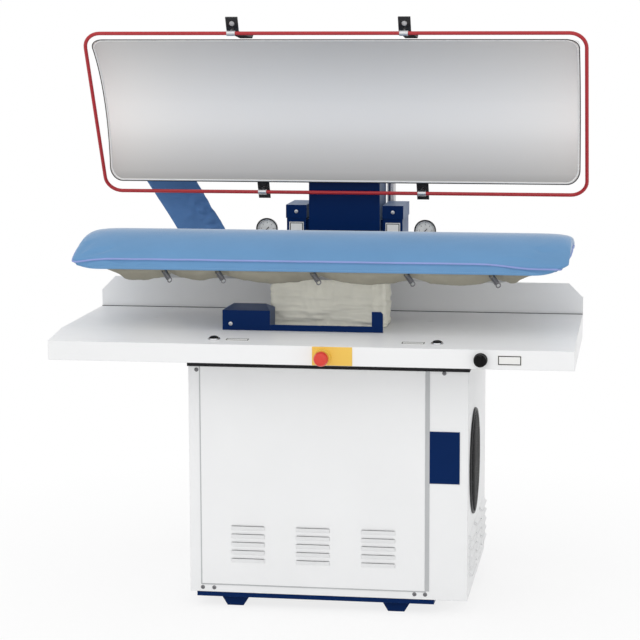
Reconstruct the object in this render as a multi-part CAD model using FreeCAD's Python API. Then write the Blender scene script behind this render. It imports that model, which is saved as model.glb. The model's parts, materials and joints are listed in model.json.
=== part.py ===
import FreeCAD, Part
import math
import os

V = FreeCAD.Vector

# Driving dimensions in millimetres: X along the buck, the operator stands at -Y, Z up from the floor
SHEET = 2.0
FIT = 0.3
RUNNING = 0.05
FULL_TURN = 360.0

# Heights, stacked from the floor
FOOT_HEIGHT = 28.0
BASE_THICK = 14.0
CABINET_HEIGHT = 678.0
APRON_HEIGHT = 53.0
STRIP_RISE = 15.0
BUCK_RISE = 263.0
HINGE_RISE = 172.0
UPSTAND_RISE = 91.0
LID_RISE = 302.0

# Depths, from the front of the stop button to the back of the column
OVERALL_DEPTH = 980.0
CONTROL_STAND = 45.0
STRIP_DEPTH = 146.0
APRON_OVERHANG = 125.0
BUCK_SETBACK = 323.0
COLUMN_DEPTH = 199.0
TABLE_INSET = 127.0
HINGE_INSET = 159.0

# Widths
TABLE_WIDTH = 1450.0
CABINET_LEFT = -356.0
CABINET_RIGHT = 431.0
BASE_HALF = 338.0
COLUMN_HALF = 181.0

# Base frame and feet
BASE_MEMBER = 70.0
BASE_INSET = 3.0
FOOT_X = 230.0
FOOT_BOTTOM_HALF = 23.0
FOOT_TOP_HALF = 40.0
FOOT_LENGTH = 60.0
FOOT_END_GAP = 14.0

# Cabinet skeleton and panels
POST = 30.0
OPENING_LEFT = -310.0
OPENING_RIGHT = 300.0
OPENING_SILL = 36.0
OPENING_HEAD = 20.0
PANEL_LAP = 12.0
SCREW_HEAD_R = 6.0
SCREW_HEAD_H = 2.5
SCREW_CROWN_R = 3.6
FRONT_SCREWS = ((-333.0, 638.0), (364.0, 643.0), (-321.0, 12.0), (-288.0, 12.0), (283.0, 14.0), (313.0, 14.0))
PLATE_LEFT = 315.0
PLATE_WIDTH = 93.0
PLATE_HEIGHT = 147.0
PLATE_SILL = 332.0
PLATE_THICK = 1.5

# Louvres
LOUVRE_COLUMNS = 3
LOUVRE_ROWS = 5
LOUVRE_HEIGHT = 13.0
LOUVRE_WALL = 1.5
FRONT_LOUVRE_REACH = 7.0
FRONT_LOUVRE_LENGTH = 95.0
FRONT_LOUVRE_PITCH_X = 185.0
FRONT_LOUVRE_PITCH_Z = 23.5
FRONT_LOUVRE_SILL = 100.0
FRONT_LOUVRE_MIDDLE = -4.0
SIDE_LOUVRE_REACH = 11.0
SIDE_LOUVRE_LENGTH = 140.0
SIDE_LOUVRE_PITCH_Y = 178.0
SIDE_LOUVRE_PITCH_Z = 26.0
SIDE_LOUVRE_SILL = 58.0

# Vacuum fan
FAN_LEG_HEIGHT = 195.0
GRILLE_R = 140.0
GRILLE_RIM = 12.0
GRILLE_WIRE = 4.0
GRILLE_RINGS = 5
MOTOR_R = 72.0
MOTOR_LENGTH = 126.0
MOTOR_SETBACK = 12.0
FAN_HOUSING_R = 165.0
FAN_HOUSING_WIDTH = 96.0
FAN_OUTLET = 110.0
FAN_INLET_R = 58.0
FAN_LEG = 40.0
FAN_WALL = 2.0
IMPELLER_R = 128.0
IMPELLER_WIDTH = 62.0
IMPELLER_DISC = 4.0
IMPELLER_BLADES = 10
IMPELLER_HUB_R = 24.0
SHAFT_R = 10.0
DUCT_R = 55.0
DUCT_BEND = 95.0

# Work table
BEAM_WIDTH = 40.0
BEAM_WALL = 3.0
BEAM_END_GAP = 25.0
BEAM_FRONT_SETBACK = 195.0
BEAM_BACK_SETBACK = 64.0
UPSTAND_CHAMFER = 41.5
UPSTAND_LAP = 40.0
UPSTAND_RETURN = 24.0
CONTROL_HOLE_R = 11.0
SLOT_LENGTH = 16.0
SLOT_WIDTH = 5.0
SHELF_SLOTS = ((-514.0, 231.0), (289.0, 255.0))

# Controls
BUTTON_X = (-267.0, 351.0)
BUTTON_UP_STRIP = 0.36
BEZEL_R = 17.5
BEZEL_LIP_R = 14.0
BEZEL_H = 5.0
BEZEL_BARREL = 34.0
BUTTON_R = 12.0
BUTTON_CROWN_R = 8.4
BUTTON_PROUD = 3.5
BUTTON_DEPTH = 20.0
BUTTON_TRAVEL = 4.0
ESTOP_X = 44.0
ESTOP_PLATE_LEFT = 15.0
ESTOP_PLATE_WIDTH = 110.0
ESTOP_PLATE_MARGIN = 1.0
ESTOP_COLLAR_R = 24.0
ESTOP_COLLAR_H = 17.5
ESTOP_GAP = 6.0
ESTOP_HEAD_R = 20.0
ESTOP_NECK_R = 18.0
ESTOP_BROW_R = 17.0
ESTOP_CROWN_R = 10.0
ESTOP_STEM_R = 8.0
ESTOP_STEM_DEPTH = 30.0
ESTOP_DROP = 30.0
SELECTOR_X = 473.0
SELECTOR_RISE = 25.0
SELECTOR_R = 19.0
SELECTOR_H = 17.0
SELECTOR_BEZEL_H = 6.0
SELECTOR_RIDGE = 7.0
LABEL_THICK = 0.8
STRIP_LABEL_SIZE = (66.0, 24.0)
STRIP_LABEL_GAP = 24.0
APRON_LABEL_SIZE = (66.0, 29.0)
APRON_LABEL_LEFT = 518.0
CHEEK_LABEL_SIZE = (44.0, 42.0)
CHEEK_LABEL_DROP = 12.0

# Buck support on the table
TRAY_LEFT = -130.0
TRAY_RIGHT = 188.0
TRAY_MARGIN = 20.0
TRAY_FRONT_SETBACK = 166.0
TRAY_DEPTH = 240.0
TRAY_LIP = 17.0
TRAY_PLATE = 3.0
TRAY_STOP_WIDTH = 31.0
TRAY_STOP_RISE = 58.0
TRAY_STOP_ROUND = 6.0
BOX_WIDTH = 135.0
BOX_DEPTH = 86.0
BOX_FRONT_RISE = 56.0
BOX_BACK_RISE = 65.0
BOX_LEFT_TAPER = 17.0
BOX_RIGHT_TAPER = 26.0
BOX_SCREW = (23.0, 18.0)
PEDESTAL_X = 19.0
PEDESTAL_HALF_X = 127.0
PEDESTAL_HALF_Y = 52.0
PEDESTAL_WALL = 4.0
SLEEVE_MARGIN_X = 40.0
SLEEVE_MARGIN_Y = 11.0
SLEEVE_THICK = 3.0
SLEEVE_ROUND = 14.0

# Buck
BUCK_X = 10.0
BUCK_HALF_X = 692.0
BUCK_HALF_Y = 230.0
BUCK_R = 500.0
BUCK_CORNER = 60.0
BUCK_END_ROUND = 30.0
COVER_THICK = 3.0
HEM_DEPTH = 32.0
SIDE_DRAFT = 4.4
END_DRAW = 68.0
PLAN_SPARE = 3.0
PAD_THICK = 12.0
PAD_HEM_GAP = 6.0
PAN_WALL = 6.0
PAN_LEDGE = 4.0
PAN_TUCK = 2.0
HOPPER_DEPTH = 28.0
PAN_FOOT_INSET = 42.0
CANVAS_DEPTH = 45.0
UNDERCOVER_DRAW = 36.0
UNDERCOVER_THICK = 2.5
HOOK_X = (-413.0, -261.0, 8.0, 265.0, 498.0)
HOOK_WIRE_R = 1.6
HOOK_LAP = 9.0
HOOK_REACH = 26.0

# Column and hinge
PLATE_INNER = 110.0
PLATE_GAUGE = 8.0
CHEEK_DEPTH = 160.0
CHEEK_WIDTH = 59.0
CHEEK_SETBACK = 5.0
CHEEK_PLATE_SETBACK = 10.0
CHEEK_BOX_RISE = 70.0
LID_LIP = 40.0
LID_KNOB_R = 6.0
LID_KNOB_H = 5.0
PIVOT_R = 25.0
PIVOT_OVERHANG = 32.0
COLLAR_R = 36.0
COLLAR_LENGTH = 22.0
CROSS_PLATE_Z = 540.0
CROSS_PLATE_THICK = 15.0

# Head, drawn closed over the buck and then swung open
OPEN_ANGLE = 62.4
CLOSED_GAP = 3.0
HEAD_X = -5.0
HEAD_HALF_X = 713.0
HEAD_HALF_Y = 242.5
HEAD_CORNER = 38.0
SHOE_THICK = 3.0
CHEST_THICK = 34.0
CHEST_INSET = 14.0
HEAD_DEEP = 98.0
HEAD_LEAN = 0.67
RIM_INSET = 3.0
ARM_HALF = 108.0
ARM_WALL = 8.0
ARM_BACK = 112.0
ARM_BACK_LOW = 120.0
ARM_BACK_HIGH = 240.0
ARM_TOP_RISE = 62.0
ARM_TOP_FORWARD = 40.0
ARM_NOSE_FORWARD = 120.0
ARM_NOSE_RISE = 24.0
HUB_R = 46.0
HUB_TUBE_R = 38.0
LEVER_R = 110.0
LEVER_PIN_R = 12.0
LEVER_BOSS_R = 24.0
LEVER_INNER = 42.0
LEVER_GAUGE = 16.0

# Pneumatic cylinder
BARREL_R = 50.0
BARREL_BORE = 40.0
BARREL_CAP = 18.0
BARREL_LENGTH = 262.0
ROD_R = 12.5
PISTON_LENGTH = 40.0
PISTON_START = 14.0
YOKE_HALF_X = 36.0
YOKE_HALF_Y = 38.0
YOKE_HALF_Z = 28.0
YOKE_PLAY = 1.6
YOKE_SLOT_SPARE = 2.0

# Safety bar
BAR_R = 5.5
BAR_MARGIN_X = 16.5
BAR_MARGIN_Y = 28.0
BAR_DROP = 13.0
BAR_CORNER = 48.0
BAR_TRAVEL = 10.0
STEM_R = 4.0
STEM_RISE = 30.0
STEM_HEAD_R = 9.0
STEM_HEAD_H = 4.0
CLIP_HALF = 12.0
CLIP_WALL = 2.0
BRACKET_HALF = 18.0
BRACKET_THICK = 4.0
BRACKET_NOSE = 38.0
BRACKET_RISE = 20.0
FRONT_STEMS = ((-291.0, 38.0), (211.0, 18.0))
BACK_STEMS = ((-247.0, 0.0), (238.0, 0.0))

# Gauges and pipes
GAUGE_X = 243.0
GAUGE_R = 32.5
GAUGE_DEPTH = 28.0
GAUGE_RIM = 3.0
GAUGE_SETBACK = 23.0
GAUGE_RISE = 225.0
GAUGE_WALL = 2.0
DIAL_THICK = 1.0
DIAL_BEHIND = 8.0
GLASS_THICK = 2.0
NEEDLE_LENGTH = 22.0
NEEDLE_TAIL = 8.0
NEEDLE_WIDTH = 2.4
NEEDLE_THICK = 0.8
NEEDLE_PIN_R = 1.5
NEEDLE_ZERO = 225.0
PIPE_R = 7.0
PIPE_BEND = 20.0
MANIFOLD_R = 17.0
MANIFOLD_SPARE = 17.0
MANIFOLD_RISE = 52.0
VENT_R = 14.0
VENT_X = 107.0
VENT_RISE = 395.0
ELBOW_R = 13.0
ELBOW_REACH = 26.0
ELBOW_SPREAD = 80.0
ELBOW_RISE = 62.0
FITTING_INSET = 171.0
HOSE_SWAY = 191.0
HOSE_HALF = 77.0
HOSE_THICK = 16.0

# Derived places
CABINET_BOTTOM = FOOT_HEIGHT + BASE_THICK
CABINET_TOP = CABINET_BOTTOM + CABINET_HEIGHT
APRON_TOP = CABINET_TOP + APRON_HEIGHT
TABLE_TOP = APRON_TOP + STRIP_RISE
CROWN = TABLE_TOP + BUCK_RISE
HINGE_Z = TABLE_TOP + HINGE_RISE
LID_TOP = TABLE_TOP + LID_RISE
FRONT = -OVERALL_DEPTH / 2
BACK = OVERALL_DEPTH / 2
TABLE_FRONT = FRONT + CONTROL_STAND
STRIP_BACK = TABLE_FRONT + STRIP_DEPTH
TABLE_HALF = TABLE_WIDTH / 2
CABINET_FRONT = TABLE_FRONT + APRON_OVERHANG
CABINET_BACK = BACK - COLUMN_DEPTH
TABLE_BACK = CABINET_BACK - TABLE_INSET
BUCK_Y = TABLE_FRONT + BUCK_SETBACK
HINGE_Y = BACK - HINGE_INSET
FAN_Z = CABINET_BOTTOM + FAN_LEG_HEIGHT + FAN_HOUSING_R
SLEEVE_TOP_X = HEAD_X - HEAD_HALF_X + FITTING_INSET
SLEEVE_FOOT_X = SLEEVE_TOP_X + HOSE_SWAY
MANIFOLD_LEFT = SLEEVE_FOOT_X - HOSE_HALF - MANIFOLD_SPARE
STRIP_ANGLE = math.atan2(STRIP_RISE, STRIP_DEPTH)
STRIP_UP = V(0, -math.sin(STRIP_ANGLE), math.cos(STRIP_ANGLE))
CHEEK_INNER = PLATE_INNER + PLATE_GAUGE
CHEEK_OUTER = CHEEK_INNER + CHEEK_WIDTH
CHEEK_FRONT = HINGE_Y - HUB_R + CHEEK_SETBACK
SHELF_Z = TABLE_TOP + CHEEK_BOX_RISE
AXIS_Z = CROWN - BUCK_R
BUCK_EDGE = AXIS_Z + math.sqrt(BUCK_R ** 2 - BUCK_HALF_Y ** 2)
HEM_Z = BUCK_EDGE - HEM_DEPTH
COVER_DROP = CROWN - HEM_Z
PAN_SHOULDER_DROP = COVER_DROP - PAN_TUCK
PAN_BOTTOM_DROP = COVER_DROP + HOPPER_DEPTH
UNDERCOVER_DROP = COVER_DROP + CANVAS_DEPTH
TIP_Z = BUCK_EDGE - BUCK_END_ROUND / 2
END_SLOPE = (TIP_Z - HEM_Z) / END_DRAW
END_RUN = math.sqrt(1 + END_SLOPE ** 2)
SHOE_R = BUCK_R + CLOSED_GAP
HEAD_R = SHOE_R + SHOE_THICK + HEAD_DEEP
LEVER_ANGLE = math.radians(OPEN_ANGLE / 2)
LEVER_Y = LEVER_R * math.cos(LEVER_ANGLE)
LEVER_Z = LEVER_R * math.sin(LEVER_ANGLE)
CYLINDER_Y = HINGE_Y + (LEVER_Y + LEVER_R) / 2
STROKE = 2 * LEVER_Z


def block(x0, x1, y0, y1, z0, z1):
    """A rectangular bar or plate between two corners."""
    return Part.makeBox(x1 - x0, y1 - y0, z1 - z0, V(x0, y0, z0))


def closed_face(points):
    """A flat face inside a closed run of points."""
    return Part.Face(Part.makePolygon(points + points[:1]))


def side_profile(points, x0, x1):
    """A (Y, Z) outline drawn out along X."""
    return closed_face([V(x0, y, z) for y, z in points]).extrude(V(x1 - x0, 0, 0))


def front_profile(points, y0, y1):
    """An (X, Z) outline drawn out along Y."""
    return closed_face([V(x, y0, z) for x, z in points]).extrude(V(0, y1 - y0, 0))


def rod(radius, start, end):
    """A round bar between two points."""
    run = end - start
    return Part.makeCylinder(radius, run.Length, start, run)


def tube(outer, inner, start, end):
    """A round pipe between two points."""
    return rod(outer, start, end).cut(rod(inner, start, end))


def turned(points, base, axis):
    """A turned piece: (radius, height) outline revolved about an axis through base."""
    solid = closed_face([V(r, 0, h) for r, h in points]).revolve(V(0, 0, 0), V(0, 0, 1), FULL_TURN)
    solid.Placement = FreeCAD.Placement(base, FreeCAD.Rotation(V(0, 0, 1), axis))
    return solid


def joined(shapes):
    """Several touching shapes welded into one."""
    return shapes[0].multiFuse(shapes[1:]).removeSplitter()


def group(shapes):
    """Several separate solids kept in one node."""
    return Part.makeCompound(shapes)


def mirrored(shape):
    """The same piece on the other side of the machine."""
    return shape.mirror(V(0, 0, 0), V(1, 0, 0))


def rounded_wire(x, y, half_x, half_y, radius, z):
    """A rounded rectangle lying flat at height z."""
    run_x = half_x - radius
    run_y = half_y - radius
    diagonal = radius / math.sqrt(2)
    edges = []
    corners = ((1, 1), (-1, 1), (-1, -1), (1, -1))
    for index, (sx, sy) in enumerate(corners):
        centre = V(x + sx * run_x, y + sy * run_y, z)
        along = V(sx * radius, 0, 0)
        across = V(0, sy * radius, 0)
        first, last = (along, across) if sx == sy else (across, along)
        middle = V(sx * diagonal, sy * diagonal, 0)
        edges.append(Part.Arc(centre + first, centre + middle, centre + last).toShape())
        next_sx, next_sy = corners[(index + 1) % len(corners)]
        next_centre = V(x + next_sx * run_x, y + next_sy * run_y, z)
        leave = V(0, next_sy * radius, 0) if next_sy == sy else V(next_sx * radius, 0, 0)
        edges.append(Part.LineSegment(centre + last, next_centre + leave).toShape())
    return Part.Wire(edges)


def rounded_prism(x, y, half_x, half_y, radius, z0, z1):
    """An upright prism with rounded corners."""
    return Part.Face(rounded_wire(x, y, half_x, half_y, radius, z0)).extrude(V(0, 0, z1 - z0))


def bent_pipe(points, bend, outer):
    """A round bar through points in one plane, with an arc of the given bend at each inner point."""
    edges = []
    start = points[0]
    for before, corner, after in zip(points, points[1:], points[2:]):
        towards = (corner - before).normalize()
        away = (after - corner).normalize()
        half = math.acos(max(-1.0, min(1.0, towards.dot(away)))) / 2
        reach = bend * math.tan(half)
        enter = corner - towards * reach
        leave = corner + away * reach
        inward = (away - towards).normalize()
        middle = corner + inward * (bend / math.cos(half) - bend)
        edges.append(Part.LineSegment(start, enter).toShape())
        edges.append(Part.Arc(enter, middle, leave).toShape())
        start = leave
    edges.append(Part.LineSegment(start, points[-1]).toShape())
    path = Part.Wire(edges)
    ring = Part.Wire(Part.makeCircle(outer, points[0], points[1] - points[0]))
    return path.makePipeShell([ring], True, False)


def opened(shape):
    """A head piece drawn closed, swung back to the open rest pose."""
    swung = shape.copy()
    swung.rotate(V(0, HINGE_Y, HINGE_Z), V(1, 0, 0), -OPEN_ANGLE)
    return swung


def louvre(length, reach, up):
    """One pressed hood on the XZ plane, standing out along -Y and open at z 0; up is -1 for an open upper side."""
    outer = [(0.0, up * LOUVRE_HEIGHT), (0.0, 0.0), (-reach, 0.0)]
    inner = [(0.0, up * (LOUVRE_HEIGHT - 2 * LOUVRE_WALL)), (0.0, 0.0), (LOUVRE_WALL * 3 / 2 - reach, 0.0)]
    hood = side_profile(outer, -length / 2, length / 2)
    inside = side_profile(inner, LOUVRE_WALL - length / 2, length / 2 - LOUVRE_WALL)
    return hood.cut(inside)


def louvre_slot(length, up):
    """The slot behind one hood, cut through the sheet."""
    far = up * (LOUVRE_HEIGHT - 2 * LOUVRE_WALL)
    return block(LOUVRE_WALL - length / 2, length / 2 - LOUVRE_WALL, 0, SHEET, min(0.0, far), max(0.0, far))


def louvred(panel, places, length, reach, up, turn, sheet_face):
    """A panel with hoods and slots at each (along, z) place."""
    hoods = []
    slots = []
    for along, z in places:
        for kind, made in ((hoods, louvre(length, reach, up)), (slots, louvre_slot(length, up))):
            made.rotate(V(0, 0, 0), V(0, 0, 1), turn)
            made.translate(sheet_face(along, z))
            kind.append(made)
    return panel.cut(group(slots)).multiFuse(hoods).removeSplitter()


def base_frame():
    """Welded flat-bar frame with a window under the cabinet and one under the column."""
    y0 = CABINET_FRONT + BASE_INSET
    y1 = BACK - BASE_INSET
    y_mid = CABINET_BACK - BASE_MEMBER / 2
    x = BASE_HALF - BASE_MEMBER
    plate = block(-BASE_HALF, BASE_HALF, y0, y1, FOOT_HEIGHT, CABINET_BOTTOM)
    front = block(-x, x, y0 + BASE_MEMBER, y_mid - BASE_MEMBER / 2, FOOT_HEIGHT, CABINET_BOTTOM)
    back = block(-x, x, y_mid + BASE_MEMBER / 2, y1 - BASE_MEMBER, FOOT_HEIGHT, CABINET_BOTTOM)
    return plate.cut(front).cut(back)


def feet():
    """Four tapered blocks."""
    made = []
    for x in (-FOOT_X, FOOT_X):
        outline = [(x - FOOT_BOTTOM_HALF, 0.0), (x + FOOT_BOTTOM_HALF, 0.0)]
        outline += [(x + FOOT_TOP_HALF, FOOT_HEIGHT), (x - FOOT_TOP_HALF, FOOT_HEIGHT)]
        front = CABINET_FRONT + BASE_INSET + FOOT_END_GAP
        back = BACK - BASE_INSET - FOOT_END_GAP - FOOT_LENGTH
        for y in (front, back):
            made.append(front_profile(outline, y, y + FOOT_LENGTH))
    return group(made)


def cabinet_frame():
    """Square-tube skeleton: four posts, a top ring and a bottom ring."""
    x0 = CABINET_LEFT + SHEET
    x1 = CABINET_RIGHT - SHEET
    y0 = CABINET_FRONT + SHEET
    y1 = CABINET_BACK - SHEET
    z0 = CABINET_BOTTOM + SHEET
    core = block(x0, x1, y0, y1, z0, CABINET_TOP)
    through_z = block(x0 + POST, x1 - POST, y0 + POST, y1 - POST, z0, CABINET_TOP)
    through_x = block(x0, x1, y0 + POST, y1 - POST, z0 + POST, CABINET_TOP - POST)
    through_y = block(x0 + POST, x1 - POST, y0, y1, z0 + POST, CABINET_TOP - POST)
    return core.cut(through_z).cut(through_x).cut(through_y)


def cabinet_left_side():
    return block(CABINET_LEFT, CABINET_LEFT + SHEET, CABINET_FRONT + SHEET, CABINET_BACK - SHEET,
                 CABINET_BOTTOM, CABINET_TOP)


def cabinet_right_side():
    """Right panel with the round fan opening and three columns of louvres."""
    panel = block(CABINET_RIGHT - SHEET, CABINET_RIGHT, CABINET_FRONT + SHEET, CABINET_BACK - SHEET,
                  CABINET_BOTTOM, CABINET_TOP)
    hole = rod(GRILLE_R, V(CABINET_RIGHT - 2 * SHEET, BUCK_Y, FAN_Z), V(CABINET_RIGHT + SHEET, BUCK_Y, FAN_Z))
    places = []
    middle = (CABINET_FRONT + CABINET_BACK) / 2
    for column in range(LOUVRE_COLUMNS):
        y = middle + (column - (LOUVRE_COLUMNS - 1) / 2) * SIDE_LOUVRE_PITCH_Y
        for row in range(LOUVRE_ROWS):
            places.append((y, CABINET_BOTTOM + SIDE_LOUVRE_SILL + row * SIDE_LOUVRE_PITCH_Z))
    return louvred(panel.cut(hole), places, SIDE_LOUVRE_LENGTH, SIDE_LOUVRE_REACH, 1, FULL_TURN / 4,
                   lambda y, z: V(CABINET_RIGHT, y, z))


def cabinet_back():
    """Rear panel with its top edge folded forward to meet the table."""
    outline = [(CABINET_BACK, CABINET_BOTTOM), (CABINET_BACK, CABINET_TOP + SHEET)]
    outline += [(TABLE_BACK + SHEET, CABINET_TOP + SHEET), (TABLE_BACK + SHEET, CABINET_TOP)]
    outline += [(CABINET_BACK - SHEET, CABINET_TOP), (CABINET_BACK - SHEET, CABINET_BOTTOM)]
    return side_profile(outline, CABINET_LEFT, CABINET_RIGHT)


def cabinet_floor():
    return block(CABINET_LEFT + SHEET, CABINET_RIGHT - SHEET, CABINET_FRONT + SHEET, CABINET_BACK - SHEET,
                 CABINET_BOTTOM, CABINET_BOTTOM + SHEET)


def cabinet_front_frame():
    """Front sheet with the service opening, wider at the right-hand post."""
    sheet = block(CABINET_LEFT, CABINET_RIGHT, CABINET_FRONT, CABINET_FRONT + SHEET,
                  CABINET_BOTTOM, CABINET_TOP)
    return sheet.cut(block(OPENING_LEFT, OPENING_RIGHT, CABINET_FRONT, CABINET_FRONT + SHEET,
                           CABINET_BOTTOM + OPENING_SILL, CABINET_TOP - OPENING_HEAD))


def front_panel():
    """Service panel lapping the opening, with three groups of louvres."""
    face = CABINET_FRONT - SHEET
    panel = block(OPENING_LEFT - PANEL_LAP, OPENING_RIGHT + PANEL_LAP, face, CABINET_FRONT,
                  CABINET_BOTTOM + OPENING_SILL - PANEL_LAP, CABINET_TOP - OPENING_HEAD + PANEL_LAP)
    places = []
    for column in range(LOUVRE_COLUMNS):
        x = FRONT_LOUVRE_MIDDLE + (column - (LOUVRE_COLUMNS - 1) / 2) * FRONT_LOUVRE_PITCH_X
        for row in range(LOUVRE_ROWS):
            places.append((x, CABINET_BOTTOM + FRONT_LOUVRE_SILL + row * FRONT_LOUVRE_PITCH_Z))
    return louvred(panel, places, FRONT_LOUVRE_LENGTH, FRONT_LOUVRE_REACH, -1, 0.0, lambda x, z: V(x, face, z))


def screw(place, axis):
    """A pan-head screw seen from outside."""
    crown = SCREW_CROWN_R
    outline = [(0.0, 0.0), (SCREW_HEAD_R, 0.0), (SCREW_HEAD_R, SCREW_HEAD_H / 2), (crown, SCREW_HEAD_H)]
    return turned(outline + [(0.0, SCREW_HEAD_H)], place, axis)


def panel_screws():
    """Screws of the cabinet front and of the box by the tray, and the knobs of the two column lids."""
    made = [screw(V(x, CABINET_FRONT, CABINET_BOTTOM + z), V(0, -1, 0)) for x, z in FRONT_SCREWS]
    along, rise = BOX_SCREW
    made.append(screw(V(BOX_LEFT + along, TRAY_FRONT, TABLE_TOP + rise), V(0, -1, 0)))
    lid_face = CHEEK_FRONT - SHEET - FIT
    for x in lid_middles():
        knob = turned([(0.0, 0.0), (LID_KNOB_R, 0.0), (LID_KNOB_R, LID_KNOB_H), (0.0, LID_KNOB_H)],
                      V(x, lid_face, LID_TOP - LID_LIP / 2), V(0, -1, 0))
        made.append(knob)
    return group(made)


def blank_plate():
    """Plain plate on the right-hand post."""
    z0 = CABINET_BOTTOM + PLATE_SILL
    return block(PLATE_LEFT, PLATE_LEFT + PLATE_WIDTH, CABINET_FRONT - PLATE_THICK, CABINET_FRONT,
                 z0, z0 + PLATE_HEIGHT)


def fan_grille():
    """Wire guard over the fan opening: rim, rings and two cross bars."""
    face = CABINET_RIGHT
    along = V(1, 0, 0)
    centre = V(face, BUCK_Y, FAN_Z)
    rim = tube(GRILLE_R + GRILLE_RIM, GRILLE_R - GRILLE_RIM, centre, centre + along * GRILLE_WIRE)
    pieces = [rim]
    step = GRILLE_R / (GRILLE_RINGS + 1)
    for ring in range(1, GRILLE_RINGS):
        radius = ring * step + GRILLE_WIRE
        pieces.append(tube(radius, radius - GRILLE_WIRE, centre, centre + along * GRILLE_WIRE))
    for half_y, half_z in ((GRILLE_R, GRILLE_WIRE), (GRILLE_WIRE, GRILLE_R)):
        pieces.append(block(face, face + GRILLE_WIRE, BUCK_Y - half_y, BUCK_Y + half_y,
                            FAN_Z - half_z, FAN_Z + half_z))
    return joined(pieces)


def fan_place(x):
    return V(x, BUCK_Y, FAN_Z)


MOTOR_RIGHT = CABINET_RIGHT - SHEET - MOTOR_SETBACK
MOTOR_LEFT = MOTOR_RIGHT - MOTOR_LENGTH
FAN_LEFT = MOTOR_LEFT - FAN_HOUSING_WIDTH


def fan_motor():
    """Motor body flanged to the fan housing, bored for the shaft."""
    body = rod(MOTOR_R, fan_place(MOTOR_LEFT), fan_place(MOTOR_RIGHT))
    bore = rod(SHAFT_R + RUNNING, fan_place(MOTOR_LEFT), fan_place(MOTOR_RIGHT - MOTOR_SETBACK))
    return body.cut(bore)


def fan_housing():
    """Drum and side outlet of thin sheet on two legs, open at the inlet and around the shaft."""
    outlet_z = FAN_Z - FAN_HOUSING_R
    drum = rod(FAN_HOUSING_R, fan_place(FAN_LEFT), fan_place(MOTOR_LEFT))
    mouth = BUCK_Y + FAN_HOUSING_R + FAN_WALL
    outlet = block(FAN_LEFT, MOTOR_LEFT, BUCK_Y, mouth, outlet_z, outlet_z + FAN_OUTLET)
    inside = rod(FAN_HOUSING_R - FAN_WALL, fan_place(FAN_LEFT + FAN_WALL), fan_place(MOTOR_LEFT - FAN_WALL))
    inside_out = block(FAN_LEFT + FAN_WALL, MOTOR_LEFT - FAN_WALL, BUCK_Y, mouth + FAN_WALL,
                       outlet_z + FAN_WALL, outlet_z + FAN_OUTLET - FAN_WALL)
    inlet = rod(FAN_INLET_R, fan_place(FAN_LEFT - FAN_WALL), fan_place(FAN_LEFT + 2 * FAN_WALL))
    shaft = rod(SHAFT_R * 2, fan_place(MOTOR_LEFT - 2 * FAN_WALL), fan_place(MOTOR_LEFT + FAN_WALL))
    shell = drum.fuse(outlet)
    legs = []
    for y in (BUCK_Y - FAN_HOUSING_R / 2, BUCK_Y + FAN_HOUSING_R / 2):
        legs.append(block(FAN_LEFT, MOTOR_LEFT, y - FAN_LEG / 2, y + FAN_LEG / 2,
                          CABINET_BOTTOM + SHEET, FAN_Z))
    stand = group(legs).cut(drum).cut(outlet)
    walls = shell.cut(inside).cut(inside_out).cut(inlet).cut(shaft)
    return joined([walls] + stand.Solids)


def fan_impeller():
    """Back disc, hub, straight blades and the shaft that runs in the motor."""
    right = MOTOR_LEFT - 3 * FAN_WALL
    left = right - IMPELLER_WIDTH
    pieces = [rod(IMPELLER_R, fan_place(right - IMPELLER_DISC), fan_place(right))]
    pieces.append(rod(IMPELLER_HUB_R, fan_place(left), fan_place(right)))
    pieces.append(rod(SHAFT_R, fan_place(left), fan_place(MOTOR_RIGHT - 2 * MOTOR_SETBACK)))
    for index in range(IMPELLER_BLADES):
        blade = block(left, right - IMPELLER_DISC, BUCK_Y - IMPELLER_DISC / 2, BUCK_Y + IMPELLER_DISC / 2,
                      FAN_Z + IMPELLER_HUB_R / 2, FAN_Z + IMPELLER_R - IMPELLER_DISC)
        blade.rotate(fan_place(0), V(1, 0, 0), index * FULL_TURN / IMPELLER_BLADES)
        pieces.append(blade)
    return joined(pieces)


def suction_duct():
    """Bent pipe from the fan inlet up through the table into the pedestal."""
    top = duct_place(TRAY_FLOOR)
    corner = duct_place(FAN_Z)
    start = fan_place(FAN_LEFT)
    outer = bent_pipe([start, corner, top], DUCT_BEND, DUCT_R)
    return outer.cut(bent_pipe([start, corner, top], DUCT_BEND, DUCT_R - FAN_WALL))


def strip_point(x, along):
    """A place on the sloping strip, along it from the apron (0) to the shelf (1)."""
    return V(x, TABLE_FRONT + along * STRIP_DEPTH, APRON_TOP + along * STRIP_RISE)


def table_outline(inset):
    return [(TABLE_FRONT + inset, CABINET_TOP), (TABLE_FRONT + inset, APRON_TOP - inset),
            (STRIP_BACK + inset, TABLE_TOP - inset), (TABLE_BACK - inset, TABLE_TOP - inset),
            (TABLE_BACK - inset, CABINET_TOP)]


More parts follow.
